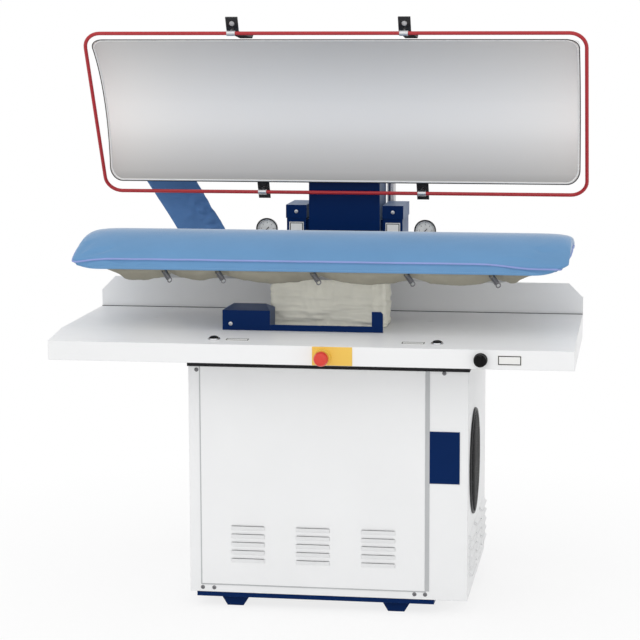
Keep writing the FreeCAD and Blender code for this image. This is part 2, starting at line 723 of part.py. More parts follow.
def table_top():
    """Folded sheet table: apron, sloping strip, shelf and turned-down ends, with the control holes."""
    skin = side_profile(table_outline(0.0), -TABLE_HALF, TABLE_HALF)
    skin = skin.cut(side_profile(table_outline(SHEET), SHEET - TABLE_HALF, TABLE_HALF - SHEET))
    holes = []
    for x in BUTTON_X:
        seat = strip_point(x, BUTTON_UP_STRIP)
        holes.append(rod(CONTROL_HOLE_R, seat - STRIP_UP * BEZEL_BARREL, seat + STRIP_UP * BEZEL_BARREL))
    for x, z in ((ESTOP_X, APRON_TOP - ESTOP_DROP), (SELECTOR_X, CABINET_TOP + SELECTOR_RISE)):
        front = V(x, TABLE_FRONT - SHEET, z)
        holes.append(rod(CONTROL_HOLE_R, front, front + V(0, 3 * SHEET, 0)))
    holes.append(rod(DUCT_R + FIT, duct_place(TABLE_TOP - 2 * SHEET), duct_place(TABLE_TOP + SHEET)))
    for x, y in SHELF_SLOTS:
        y_slot = STRIP_BACK + y
        holes.append(block(x, x + SLOT_LENGTH, y_slot, y_slot + SLOT_WIDTH, TABLE_TOP - SHEET, TABLE_TOP))
    return skin.cut(group(holes))


def table_upstand():
    """Rear splash sheet with chamfered top corners and folded end returns."""
    z0 = TABLE_TOP - UPSTAND_LAP
    z1 = TABLE_TOP + UPSTAND_RISE
    cut = UPSTAND_CHAMFER
    outline = [(-TABLE_HALF, z0), (TABLE_HALF, z0), (TABLE_HALF, z1 - cut), (TABLE_HALF - cut, z1)]
    outline += [(cut - TABLE_HALF, z1), (-TABLE_HALF, z1 - cut)]
    sheet = front_profile(outline, TABLE_BACK, TABLE_BACK + SHEET)
    ends = []
    for x in (-TABLE_HALF, TABLE_HALF - SHEET):
        ends.append(block(x, x + SHEET, TABLE_BACK, TABLE_BACK + UPSTAND_RETURN, z0, z1 - cut))
    return joined([sheet] + ends)


def table_beams():
    """Two rectangular tubes that carry the table on the cabinet."""
    made = []
    reach = TABLE_HALF - BEAM_END_GAP
    for y in (TABLE_FRONT + BEAM_FRONT_SETBACK, TABLE_BACK - BEAM_BACK_SETBACK):
        z1 = TABLE_TOP - SHEET
        outer = block(-reach, reach, y - BEAM_WIDTH / 2, y + BEAM_WIDTH / 2, CABINET_TOP, z1)
        inner = block(-reach, reach, y - BEAM_WIDTH / 2 + BEAM_WALL, y + BEAM_WIDTH / 2 - BEAM_WALL,
                      CABINET_TOP + BEAM_WALL, z1 - BEAM_WALL)
        made.append(outer.cut(inner))
    return group(made)


def start_button_bezels():
    """Turned bezels with threaded barrels through the strip."""
    bore = BUTTON_R + FIT
    thread = CONTROL_HOLE_R - RUNNING
    lip = BEZEL_LIP_R
    outline = [(thread - 2 * SHEET, -BEZEL_BARREL), (thread, -BEZEL_BARREL), (thread, 0.0), (BEZEL_R, 0.0)]
    outline += [(BEZEL_R, BEZEL_H / 2), (lip, BEZEL_H), (bore, BEZEL_H), (bore, FIT * 2)]
    outline += [(thread - 2 * SHEET, FIT * 2)]
    return group([turned(outline, strip_point(x, BUTTON_UP_STRIP), STRIP_UP) for x in BUTTON_X])


def start_button(x):
    """Domed push cap on a stem."""
    stem = CONTROL_HOLE_R - 2 * SHEET - RUNNING - FIT
    low = FIT * 2 + BUTTON_TRAVEL + FIT
    top = BEZEL_H + BUTTON_PROUD
    outline = [(0.0, -BUTTON_DEPTH), (stem, -BUTTON_DEPTH), (stem, low), (BUTTON_R, low)]
    outline += [(BUTTON_R, top - BUTTON_PROUD / 2), (BUTTON_CROWN_R, top), (0.0, top)]
    return turned(outline, strip_point(x, BUTTON_UP_STRIP), STRIP_UP)


def strip_label(x):
    """Plain label lying on the strip, with its middle at x."""
    wide, deep = STRIP_LABEL_SIZE
    plate = block(x - wide / 2, x + wide / 2, -deep / 2, deep / 2, 0, LABEL_THICK)
    plate.rotate(V(0, 0, 0), V(1, 0, 0), math.degrees(STRIP_ANGLE))
    plate.translate(strip_point(0, BUTTON_UP_STRIP))
    return plate


def lid_middles():
    middle = (CHEEK_INNER + CHEEK_OUTER) / 2
    return (-middle, middle)


def label_plates():
    """Plain label plates: two on the strip, one on the apron, two on the column boxes."""
    reach = BEZEL_R + STRIP_LABEL_GAP + STRIP_LABEL_SIZE[0] / 2 - BEZEL_R / 2
    made = [strip_label(BUTTON_X[0] + reach), strip_label(BUTTON_X[1] - reach)]
    wide, high = APRON_LABEL_SIZE
    z = CABINET_TOP + SELECTOR_RISE
    made.append(block(APRON_LABEL_LEFT, APRON_LABEL_LEFT + wide, TABLE_FRONT - LABEL_THICK, TABLE_FRONT,
                      z - high / 2, z + high / 2))
    wide, high = CHEEK_LABEL_SIZE
    top = LID_TOP - LID_LIP - CHEEK_LABEL_DROP
    for x in lid_middles():
        made.append(block(x - wide / 2, x + wide / 2, CHEEK_FRONT - LABEL_THICK, CHEEK_FRONT,
                          top - high, top))
    return group(made)


ESTOP_Z = APRON_TOP - ESTOP_DROP
ESTOP_FACE = TABLE_FRONT - PLATE_THICK


def estop_plate():
    plate = block(ESTOP_PLATE_LEFT, ESTOP_PLATE_LEFT + ESTOP_PLATE_WIDTH, ESTOP_FACE, TABLE_FRONT,
                  CABINET_TOP + ESTOP_PLATE_MARGIN, APRON_TOP - ESTOP_PLATE_MARGIN)
    front = V(ESTOP_X, ESTOP_FACE - SHEET, ESTOP_Z)
    back = V(ESTOP_X, TABLE_FRONT + SHEET, ESTOP_Z)
    return plate.cut(rod(CONTROL_HOLE_R, front, back))


def estop_collar():
    """Yellow collar with its barrel through the apron."""
    bore = ESTOP_STEM_R + FIT
    thread = CONTROL_HOLE_R - RUNNING
    outline = [(bore, -ESTOP_STEM_DEPTH), (thread, -ESTOP_STEM_DEPTH), (thread, 0.0), (ESTOP_COLLAR_R, 0.0)]
    outline += [(ESTOP_COLLAR_R - SHEET, ESTOP_COLLAR_H), (bore, ESTOP_COLLAR_H)]
    return turned(outline, V(ESTOP_X, ESTOP_FACE, ESTOP_Z), V(0, -1, 0))


def estop_button():
    """Red mushroom head on a stem."""
    low = ESTOP_COLLAR_H + ESTOP_GAP
    top = ESTOP_FACE - FRONT
    shoulder = (low + top) / 2
    outline = [(0.0, -ESTOP_STEM_DEPTH / 2), (ESTOP_STEM_R, -ESTOP_STEM_DEPTH / 2), (ESTOP_STEM_R, low)]
    outline += [(ESTOP_NECK_R, low), (ESTOP_HEAD_R, low + SHEET), (ESTOP_HEAD_R, shoulder)]
    outline += [(ESTOP_BROW_R, top - SHEET), (ESTOP_CROWN_R, top), (0.0, top)]
    return turned(outline, V(ESTOP_X, ESTOP_FACE, ESTOP_Z), V(0, -1, 0))


def selector_base():
    return V(SELECTOR_X, TABLE_FRONT, CABINET_TOP + SELECTOR_RISE)


def selector_bezel():
    """Bezel with its barrel through the apron."""
    bore = ESTOP_STEM_R + RUNNING
    thread = CONTROL_HOLE_R - RUNNING
    outline = [(bore, -ESTOP_STEM_DEPTH), (thread, -ESTOP_STEM_DEPTH), (thread, 0.0), (SELECTOR_R, 0.0)]
    outline += [(SELECTOR_R - SHEET / 2, SELECTOR_BEZEL_H), (bore, SELECTOR_BEZEL_H)]
    return turned(outline, selector_base(), V(0, -1, 0))


def selector_knob():
    """Round knob with a raised grip ridge."""
    low = SELECTOR_BEZEL_H + FIT
    top = SELECTOR_BEZEL_H + SELECTOR_H
    outline = [(0.0, -ESTOP_STEM_DEPTH / 2), (ESTOP_STEM_R, -ESTOP_STEM_DEPTH / 2), (ESTOP_STEM_R, low)]
    outline += [(SELECTOR_R - SHEET, low), (SELECTOR_R - SHEET, top - SHEET), (SELECTOR_R - 2 * SHEET, top)]
    body = turned(outline + [(0.0, top)], selector_base(), V(0, -1, 0))
    place = selector_base()
    half = SELECTOR_RIDGE / 2
    tall = SELECTOR_R - 2 * SHEET
    ridge = block(place.x - half, place.x + half, place.y - top - SELECTOR_RIDGE, place.y - top + SHEET,
                  place.z - tall, place.z + tall)
    return body.fuse(ridge).removeSplitter()


TRAY_FRONT = TABLE_FRONT + TRAY_FRONT_SETBACK
TRAY_FLOOR = TABLE_TOP + TRAY_PLATE


def duct_place(z):
    """A place on the upright axis of the suction duct and the pedestal."""
    return V(PEDESTAL_X, BUCK_Y, z)


def base_tray():
    """Folded tray under the pedestal with lips front and back and an upright stop at the front right."""
    y1 = TRAY_FRONT + TRAY_DEPTH
    reach = PEDESTAL_HALF_X + TRAY_MARGIN
    plate_left = PEDESTAL_X - reach
    plate_right = PEDESTAL_X + reach
    plate = block(plate_left, plate_right, TRAY_FRONT, y1, TABLE_TOP, TRAY_FLOOR)
    hole = rod(DUCT_R + FIT, duct_place(TABLE_TOP - SHEET), duct_place(TRAY_FLOOR + SHEET))
    lip_top = TABLE_TOP + TRAY_LIP
    front_lip = block(TRAY_LEFT, TRAY_RIGHT, TRAY_FRONT, TRAY_FRONT + TRAY_PLATE, TABLE_TOP, lip_top)
    back_lip = block(plate_left, plate_right, y1 - TRAY_PLATE, y1, TABLE_TOP, lip_top)
    z1 = TABLE_TOP + TRAY_STOP_RISE
    left = TRAY_RIGHT - TRAY_STOP_WIDTH
    cut = TRAY_STOP_ROUND
    outline = [(left, TABLE_TOP), (TRAY_RIGHT, TABLE_TOP), (TRAY_RIGHT, z1 - cut)]
    outline += [(TRAY_RIGHT - cut, z1), (left, z1)]
    stop = front_profile(outline, TRAY_FRONT, TRAY_FRONT + 2 * TRAY_PLATE)
    return joined([plate.cut(hole), stop, front_lip, back_lip])


BOX_RIGHT = TRAY_LEFT - FIT
BOX_LEFT = BOX_RIGHT - BOX_WIDTH


def box_form(inset):
    """Outline of the sheet box beside the tray, taken in by an inset but open at the table."""
    y0 = TRAY_FRONT + inset
    y1 = TRAY_FRONT + BOX_DEPTH - inset
    left = BOX_LEFT + inset
    right = BOX_RIGHT - inset
    top = TABLE_TOP + BOX_BACK_RISE - inset
    brow = TABLE_TOP + BOX_FRONT_RISE - inset
    side = [(y0, TABLE_TOP), (y0, brow), (y1, top), (y1, TABLE_TOP)]
    front = [(left, TABLE_TOP), (right, TABLE_TOP), (right, brow), (right - BOX_RIGHT_TAPER, top)]
    front += [(left + BOX_LEFT_TAPER, top), (left, brow)]
    return side_profile(side, left, right).common(front_profile(front, y0, y1))


def bracket_box():
    """Sheet box left of the tray with a top that narrows and rises to the back."""
    return box_form(0.0).cut(box_form(SHEET))


def pedestal_form(half_x, half_y, corner, z0):
    """An upright rounded form around the pedestal's axis, from a height to the underside of the buck."""
    return rounded_prism(PEDESTAL_X, BUCK_Y, half_x, half_y, corner, z0, CROWN - PAN_BOTTOM_DROP)


def pedestal():
    """Hollow steel column that carries the buck and leads the suction up."""
    floor = TRAY_FLOOR + PEDESTAL_WALL
    outer = pedestal_form(PEDESTAL_HALF_X, PEDESTAL_HALF_Y, SLEEVE_ROUND, TRAY_FLOOR)
    inner = pedestal_form(PEDESTAL_HALF_X - PEDESTAL_WALL, PEDESTAL_HALF_Y - PEDESTAL_WALL,
                          SLEEVE_ROUND - PEDESTAL_WALL, floor)
    hole = rod(DUCT_R + FIT, duct_place(TRAY_FLOOR), duct_place(floor))
    return outer.cut(inner).cut(hole.common(outer))


def canvas_sleeve():
    """Canvas wrap around the pedestal, from the tray to the underside of the buck."""
    half_x = PEDESTAL_HALF_X + SLEEVE_MARGIN_X
    half_y = PEDESTAL_HALF_Y + SLEEVE_MARGIN_Y
    outer = pedestal_form(half_x, half_y, SLEEVE_ROUND, TRAY_FLOOR)
    inner = pedestal_form(half_x - SLEEVE_THICK, half_y - SLEEVE_THICK, SLEEVE_ROUND - SLEEVE_THICK,
                          TRAY_FLOOR)
    return outer.cut(inner)


def end_half(inset, z):
    """Half length of the buck at a height under its drawn-in ends, taken in by an inset."""
    return BUCK_HALF_X - (TIP_Z + inset * END_RUN - z) / END_SLOPE


def side_lean(edge, z):
    """How far the sides of the buck lean in between the edge of the crown and a height."""
    return SIDE_DRAFT * (edge - z) / HEM_DEPTH


def buck_plan(inset, z0):
    """Rounded plan of the buck, just clear of its sides, drawn in under both ends below the tips."""
    half_x = BUCK_HALF_X - inset
    half_y = BUCK_HALF_Y - inset + PLAN_SPARE
    corner = BUCK_CORNER - inset + PLAN_SPARE
    tip = TIP_Z + inset * (END_RUN - END_SLOPE)
    upper = rounded_prism(BUCK_X, BUCK_Y, half_x, half_y, corner, tip, CROWN)
    low = rounded_wire(BUCK_X, BUCK_Y, end_half(inset, z0), half_y, corner, z0)
    high = rounded_wire(BUCK_X, BUCK_Y, half_x, half_y, corner, tip)
    return upper.fuse(Part.makeLoft([low, high], True, True))


def crowned_block(inset, drop):
    """The crowned form of the buck, taken in by an inset and cut off at a drop below the crown."""
    half_x = BUCK_HALF_X - inset
    half_y = BUCK_HALF_Y - inset
    radius = BUCK_R - inset
    z0 = CROWN - drop
    edge = AXIS_Z + math.sqrt(radius ** 2 - half_y ** 2)
    low_y = half_y - side_lean(edge, z0)
    top = AXIS_Z + radius
    left = BUCK_X - half_x
    right = BUCK_X + half_x
    front_edge = V(left, BUCK_Y - half_y, edge)
    back_edge = V(left, BUCK_Y + half_y, edge)
    arc = Part.Arc(back_edge, V(left, BUCK_Y, top), front_edge).toShape()
    run = [front_edge, V(left, BUCK_Y - low_y, z0), V(left, BUCK_Y + low_y, z0), back_edge]
    lines = [Part.LineSegment(a, b).toShape() for a, b in zip(run, run[1:])]
    crown = Part.Face(Part.Wire([arc] + lines)).extrude(V(2 * half_x, 0, 0))
    cut = BUCK_END_ROUND
    brow = top - cut / 2
    ends = [(left, z0), (right, z0), (right, edge - cut / 2), (right - cut / 3, brow), (right - cut, top)]
    ends += [(left + cut, top), (left + cut / 3, brow), (left, edge - cut / 2)]
    rounded = front_profile(ends, BUCK_Y - half_y, BUCK_Y + half_y)
    return crown.common(buck_plan(inset, z0)).common(rounded)


PAN_INSET = COVER_THICK + PAD_THICK + 2 * FIT


def buck_cover():
    """Blue cloth skin over the crown, hanging as a hem around the buck."""
    return crowned_block(0.0, COVER_DROP).cut(crowned_block(COVER_THICK, COVER_DROP + SHEET))


def buck_padding():
    """Felt layer between the pan and the cover."""
    hem = COVER_DROP - PAD_HEM_GAP
    return crowned_block(COVER_THICK + FIT, hem).cut(crowned_block(PAN_INSET - FIT, hem + SHEET))


def pan_hopper(inset):
    """The lower half of the pan, narrowing to its underside, taken in by an inset."""
    half_x = end_half(PAN_INSET, CROWN - PAN_SHOULDER_DROP) - PAN_LEDGE - inset
    half_y = BUCK_HALF_Y - PAN_INSET - PAN_LEDGE - inset
    corner = BUCK_CORNER - PAN_INSET - PAN_LEDGE - inset
    top = rounded_wire(BUCK_X, BUCK_Y, half_x, half_y, corner, CROWN - PAN_SHOULDER_DROP)
    low = rounded_wire(BUCK_X, BUCK_Y, half_x - PAN_FOOT_INSET, half_y - PAN_FOOT_INSET, corner,
                       CROWN - PAN_BOTTOM_DROP + inset)
    return Part.makeLoft([top, low], True, True)


def buck_pan():
    """Hollow metal body of the buck, open at its foot for the suction."""
    outer = crowned_block(PAN_INSET, PAN_SHOULDER_DROP).fuse(pan_hopper(0.0))
    inner = crowned_block(PAN_INSET + PAN_WALL, PAN_SHOULDER_DROP).fuse(pan_hopper(PAN_WALL))
    foot = V(PEDESTAL_X, BUCK_Y, CROWN - PAN_BOTTOM_DROP - PAN_WALL)
    hole = rod(PEDESTAL_HALF_Y - PEDESTAL_WALL, foot, foot + V(0, 0, 3 * PAN_WALL))
    return outer.cut(inner).cut(hole).removeSplitter()


def undercover_form(grow):
    """Outline of the canvas under the hem, drawn in towards its lower edge."""
    half_x = end_half(COVER_THICK + FIT, HEM_Z) - grow
    half_y = BUCK_HALF_Y - 2 * COVER_THICK - SIDE_DRAFT - grow
    corner = BUCK_CORNER - COVER_THICK - grow
    top = rounded_wire(BUCK_X, BUCK_Y, half_x, half_y, corner, HEM_Z + PAD_HEM_GAP - FIT)
    low = rounded_wire(BUCK_X, BUCK_Y, half_x - UNDERCOVER_DRAW, half_y - UNDERCOVER_DRAW, corner,
                       CROWN - UNDERCOVER_DROP)
    return Part.makeLoft([top, low], True, True)


def buck_undercover():
    """Canvas under-cover hanging below the blue hem."""
    return undercover_form(0.0).cut(undercover_form(UNDERCOVER_THICK))


def cover_hook(x, side):
    """A bent wire hook from the hem to the canvas; side is -1 at the front and 1 at the back."""
    out = BUCK_HALF_Y - side_lean(BUCK_EDGE, HEM_Z + HOOK_LAP) + HOOK_WIRE_R + FIT
    draw = UNDERCOVER_DRAW * HOOK_REACH / CANVAS_DEPTH
    points = [V(x, BUCK_Y + side * out, HEM_Z + HOOK_LAP), V(x, BUCK_Y + side * out, HEM_Z),
              V(x, BUCK_Y + side * (out - draw), HEM_Z - HOOK_REACH)]
    return bent_pipe(points, 2 * HOOK_WIRE_R, HOOK_WIRE_R)


def cover_hooks():
    return group([cover_hook(BUCK_X + x, side) for side in (-1, 1) for x in HOOK_X])


COLUMN_PLATE_FRONT = CHEEK_FRONT + CHEEK_PLATE_SETBACK
COLUMN_PLATE_BACK = CHEEK_FRONT + CHEEK_DEPTH - SHEET * 2
PLATE_TOP = LID_TOP - LID_LIP - 2 * SHEET


def column_frame():
    """Two hinge plates welded to a foot plate, a front tie and the shelf of the cylinder."""
    base_z = CABINET_BOTTOM + BASE_THICK
    pieces = [block(SHEET - COLUMN_HALF, COLUMN_HALF - SHEET, CABINET_BACK, BACK - SHEET,
                    CABINET_BOTTOM, base_z)]
    for x in (-CHEEK_INNER, PLATE_INNER):
        plate = block(x, x + PLATE_GAUGE, COLUMN_PLATE_FRONT, COLUMN_PLATE_BACK, base_z, PLATE_TOP)
        axle = rod(PIVOT_R + RUNNING, V(x, HINGE_Y, HINGE_Z), V(x + PLATE_GAUGE, HINGE_Y, HINGE_Z))
        pieces.append(plate.cut(axle))
    pieces.append(block(-PLATE_INNER, PLATE_INNER, COLUMN_PLATE_FRONT, COLUMN_PLATE_FRONT + PLATE_GAUGE,
                        base_z, CABINET_TOP))
    pieces.append(block(-PLATE_INNER, PLATE_INNER, COLUMN_PLATE_FRONT, COLUMN_PLATE_BACK,
                        CROSS_PLATE_Z, CROSS_PLATE_Z + CROSS_PLATE_THICK))
    return joined(pieces)


def column_shroud():
    """Sheet cover around the column with two shelves for the hinge boxes."""
    x = COLUMN_HALF
    outer = block(-x, x, CABINET_BACK, BACK, CABINET_BOTTOM, SHELF_Z)
    inner = block(SHEET - x, x - SHEET, CABINET_BACK, BACK - SHEET, CABINET_BOTTOM, SHELF_Z - SHEET)
    slot = block(-CHEEK_INNER, CHEEK_INNER, CABINET_BACK, BACK - SHEET, SHELF_Z - 2 * SHEET, SHELF_Z)
    return outer.cut(inner).cut(slot)


def cheek_box():
    """Right-hand hinge box, open at the top and towards the hinge plate."""
    y1 = CHEEK_FRONT + CHEEK_DEPTH
    z1 = LID_TOP - SHEET - FIT
    outer = block(CHEEK_INNER, CHEEK_OUTER, CHEEK_FRONT, y1, SHELF_Z, z1)
    inner = block(CHEEK_INNER, CHEEK_OUTER - SHEET, CHEEK_FRONT + SHEET, y1 - SHEET, SHELF_Z + SHEET, z1)
    return outer.cut(inner)


def cheek_boxes():
    return group([mirrored(cheek_box()), cheek_box()])


def cheek_lid():
    """Right-hand lid whose lips lap the box."""
    grow = SHEET + FIT
    y1 = CHEEK_FRONT + CHEEK_DEPTH
    outer = block(CHEEK_INNER - grow, CHEEK_OUTER + grow, CHEEK_FRONT - grow, y1 + grow,
                  LID_TOP - LID_LIP, LID_TOP)
    inner = block(CHEEK_INNER - FIT, CHEEK_OUTER + FIT, CHEEK_FRONT - FIT, y1 + FIT,
                  LID_TOP - LID_LIP, LID_TOP - SHEET)
    return outer.cut(inner)


def cheek_lids():
    return group([mirrored(cheek_lid()), cheek_lid()])


def pivot_shaft():
    reach = CHEEK_INNER + PIVOT_OVERHANG
    return rod(PIVOT_R, V(-reach, HINGE_Y, HINGE_Z), V(reach, HINGE_Y, HINGE_Z))


def shaft_collars():
    """Bearing collars outside the hinge plates."""
    made = []
    for side in (-1, 1):
        start = V(side * CHEEK_INNER, HINGE_Y, HINGE_Z)
        made.append(tube(COLLAR_R, PIVOT_R + RUNNING, start, start + V(side * COLLAR_LENGTH, 0, 0)))
    return group(made)


def head_body(radius_out, radius_in, half_x, half_y, corner):
    """The closed head between two radii about the buck axis, in a rounded plan, its front leaning back."""
    plan = rounded_prism(HEAD_X, BUCK_Y, half_x, half_y, corner, AXIS_Z, AXIS_Z + radius_out)
    start = V(HEAD_X - half_x, BUCK_Y, AXIS_Z)
    end = V(HEAD_X + half_x, BUCK_Y, AXIS_Z)
    low = AXIS_Z + math.sqrt(radius_in ** 2 - half_y ** 2)
    top = AXIS_Z + radius_out
    front = BUCK_Y - half_y
    back = BUCK_Y + half_y
    outline = [(front, AXIS_Z), (front, low), (front + HEAD_LEAN * (top - low), top), (back, top)]
    wedge = side_profile(outline + [(back, AXIS_Z)], HEAD_X - half_x, HEAD_X + half_x)
    return tube(radius_out, radius_in, start, end).common(plan).common(wedge)


def head_plate():
    """Polished concave pressing shoe."""
    return opened(head_body(SHOE_R + SHOE_THICK, SHOE_R, HEAD_HALF_X, HEAD_HALF_Y, HEAD_CORNER))


CHEST_R = SHOE_R + SHOE_THICK + FIT


def head_chest():
    """Cast steam chest behind the shoe."""
    half_x = HEAD_HALF_X - CHEST_INSET
    half_y = HEAD_HALF_Y - CHEST_INSET
    return opened(head_body(CHEST_R + CHEST_THICK, CHEST_R, half_x, half_y, HEAD_CORNER - CHEST_INSET))


def head_cover():
    """Sheet cover over the back and the sides of the head."""
    half_x = HEAD_HALF_X - RIM_INSET
    half_y = HEAD_HALF_Y - RIM_INSET
    corner = HEAD_CORNER - RIM_INSET
    outer = head_body(HEAD_R, CHEST_R, half_x, half_y, corner)
    inner = head_body(HEAD_R - SHEET, CHEST_R - SHEET, half_x - SHEET, half_y - SHEET, corner - SHEET)
    return opened(outer.cut(inner))


def closed_point(y, z):
    """A place given from the hinge in the open pose, as (Y, Z) in the closed pose."""
    angle = math.radians(OPEN_ANGLE)
    forward = y * math.cos(angle) - z * math.sin(angle)
    rise = y * math.sin(angle) + z * math.cos(angle)
    return (HINGE_Y + forward, HINGE_Z + rise)


def arm_face():
    """Side outline of the arm in the closed pose: hub, pillar and the saddle on the head."""
    x = -ARM_HALF
    saddle_r = HEAD_R + FIT
    rear_y = BUCK_Y + HEAD_HALF_Y - RIM_INSET + FIT
    nose_y = BUCK_Y - ARM_NOSE_FORWARD
    saddle_mid = (rear_y + nose_y) / 2

    def saddle(y):
        return V(x, y, AXIS_Z + math.sqrt(saddle_r ** 2 - (y - BUCK_Y) ** 2))

    def from_hinge(y, z):
        return V(x, *closed_point(y, z))

    hub_front = from_hinge(-HUB_R, 0.0)
    front_dir = from_hinge(-HUB_R, HUB_R) - hub_front
    front_top = hub_front + front_dir * ((rear_y - hub_front.y) / front_dir.y)
    back_low = from_hinge(ARM_BACK, ARM_BACK_LOW)
    back_high = from_hinge(ARM_BACK, ARM_BACK_HIGH)
    hinge = V(x, HINGE_Y, HINGE_Z)
    reach = back_low - hinge
    lean = math.atan2(reach.z, reach.y) - math.acos(HUB_R / reach.Length)
    hub_back = hinge + V(0, math.cos(lean), math.sin(lean)) * HUB_R
    opposite = hinge - ((hub_front + hub_back) / 2 - hinge).normalize() * HUB_R
    under = opposite if opposite.z < HINGE_Z else hinge * 2 - opposite
    crest = V(x, saddle_mid, AXIS_Z + HEAD_R + ARM_TOP_RISE)
    brow = V(x, nose_y + ARM_TOP_FORWARD, AXIS_Z + HEAD_R + ARM_TOP_RISE)
    nose_top = saddle(nose_y) + V(0, 0, ARM_NOSE_RISE)
    edges = [Part.Arc(hub_front, under, hub_back).toShape()]
    run = [hub_back, back_low, back_high, crest, brow, nose_top, saddle(nose_y)]
    edges += [Part.LineSegment(a, b).toShape() for a, b in zip(run, run[1:])]
    edges.append(Part.Arc(saddle(nose_y), saddle(saddle_mid), saddle(rear_y)).toShape())
    edges.append(Part.LineSegment(saddle(rear_y), front_top).toShape())
    edges.append(Part.LineSegment(front_top, hub_front).toShape())
    return Part.Face(Part.Wire(edges))


def link_plate(first, first_r, second, second_r, x0, x1):
    """A plate joining two round bosses at (Y, Z) places."""
    start = V(x0, *first)
    end = V(x0, *second)
    across = V(1, 0, 0).cross(end - start).normalize()
    corners = [start + across * first_r, start - across * first_r]
    corners += [end - across * second_r, end + across * second_r]
    run = V(x1 - x0, 0, 0)
    bosses = [rod(first_r, start, start + run), rod(second_r, end, end + run)]
    return joined(bosses + [closed_face(corners).extrude(run)])


def head_arm():
    """Hollow welded arm with its hub tube, the drive lugs and their cross pin."""
    outline = arm_face()
    outer = outline.extrude(V(2 * ARM_HALF, 0, 0))
    hollow = outline.makeOffset2D(-ARM_WALL).extrude(V(2 * (ARM_HALF - ARM_WALL), 0, 0))
    hollow.translate(V(ARM_WALL, 0, 0))
    hub = (HINGE_Y, HINGE_Z)
    pin = (HINGE_Y + LEVER_Y, HINGE_Z + LEVER_Z)
    axle = rod(HUB_TUBE_R, V(-ARM_HALF, *hub), V(ARM_HALF, *hub))
    outside = LEVER_INNER + LEVER_GAUGE
    pieces = [outer.cut(hollow), axle, rod(LEVER_PIN_R, V(-outside, *pin), V(outside, *pin))]
    for x in (-outside, LEVER_INNER):
        pieces.append(link_plate(hub, HUB_TUBE_R, pin, LEVER_BOSS_R, x, x + LEVER_GAUGE))
    bore = rod(PIVOT_R + RUNNING, V(-ARM_HALF, *hub), V(ARM_HALF, *hub))
    return opened(joined(pieces).cut(bore))


def cylinder_barrel():
    """Air cylinder standing on its shelf in the column."""
    z0 = CROSS_PLATE_Z + CROSS_PLATE_THICK
    outline = [(0.0, 0.0), (BARREL_R, 0.0), (BARREL_R, BARREL_LENGTH), (ROD_R + RUNNING, BARREL_LENGTH)]
    outline += [(ROD_R + RUNNING, BARREL_LENGTH - BARREL_CAP), (BARREL_BORE, BARREL_LENGTH - BARREL_CAP)]
    outline += [(BARREL_BORE, BARREL_CAP), (0.0, BARREL_CAP)]
    return turned(outline, V(0, CYLINDER_Y, z0), V(0, 0, 1))


YOKE_Z = HINGE_Z - LEVER_Z


def cylinder_rod():
    """Rod and piston."""
    z0 = CROSS_PLATE_Z + CROSS_PLATE_THICK + BARREL_CAP + PISTON_START
    top = YOKE_Z - YOKE_HALF_Z
    piston = BARREL_BORE - RUNNING
    outline = [(0.0, z0), (piston, z0), (piston, z0 + PISTON_LENGTH), (ROD_R, z0 + PISTON_LENGTH)]
    return turned(outline + [(ROD_R, top), (0.0, top)], V(0, CYLINDER_Y, 0), V(0, 0, 1))


def cylinder_yoke():
    """Slotted crosshead that drives the pin of the arm."""
    body = block(-YOKE_HALF_X, YOKE_HALF_X, CYLINDER_Y - YOKE_HALF_Y, CYLINDER_Y + YOKE_HALF_Y,
                 YOKE_Z - YOKE_HALF_Z, YOKE_Z + YOKE_HALF_Z)
    reach = (LEVER_R - LEVER_Y) / 2 + LEVER_PIN_R + YOKE_SLOT_SPARE
    high = LEVER_PIN_R + YOKE_PLAY
    slot = block(-YOKE_HALF_X, YOKE_HALF_X, CYLINDER_Y - reach, CYLINDER_Y + reach,
                 YOKE_Z - high, YOKE_Z + high)
    return body.cut(slot)


def bar_level():
    """Height of the safety bar when the head is closed."""
    return AXIS_Z + math.sqrt(SHOE_R ** 2 - HEAD_HALF_Y ** 2) - BAR_DROP


def bar_loop():
    """Bent rod that runs around the head outside the shoe."""
    half_x = HEAD_HALF_X + BAR_MARGIN_X
    half_y = HEAD_HALF_Y + BAR_MARGIN_Y
    path = rounded_wire(0, BUCK_Y, half_x, half_y, BAR_CORNER, bar_level())
    start = V(half_x, BUCK_Y + half_y - BAR_CORNER, bar_level())
    ring = Part.Wire(Part.makeCircle(BAR_R, start, V(0, 1, 0)))
    return path.makePipeShell([ring], True, False)


def stem_places():
    """(x, y, side, skew) of the four guide stems; side is -1 at the front edge and 1 at the rear edge."""
    reach = HEAD_HALF_Y + BAR_MARGIN_Y
    front = [(x, BUCK_Y - reach, -1, skew) for x, skew in FRONT_STEMS]
    return front + [(x, BUCK_Y + reach, 1, skew) for x, skew in BACK_STEMS]


def safety_bar():
    """Bar with its clips and guide stems welded on."""
    level = bar_level()
    pieces = [bar_loop()]
    for x, y, side, skew in stem_places():
        low = V(x, y, level)
        pieces.append(rod(STEM_R, low, low + V(0, 0, STEM_RISE)))
        pieces.append(rod(STEM_HEAD_R, low + V(0, 0, STEM_RISE), low + V(0, 0, STEM_RISE + STEM_HEAD_H)))
        pieces.append(rod(BAR_R + CLIP_WALL, low - V(CLIP_HALF, 0, 0), low + V(CLIP_HALF, 0, 0)))
    return opened(joined(pieces))


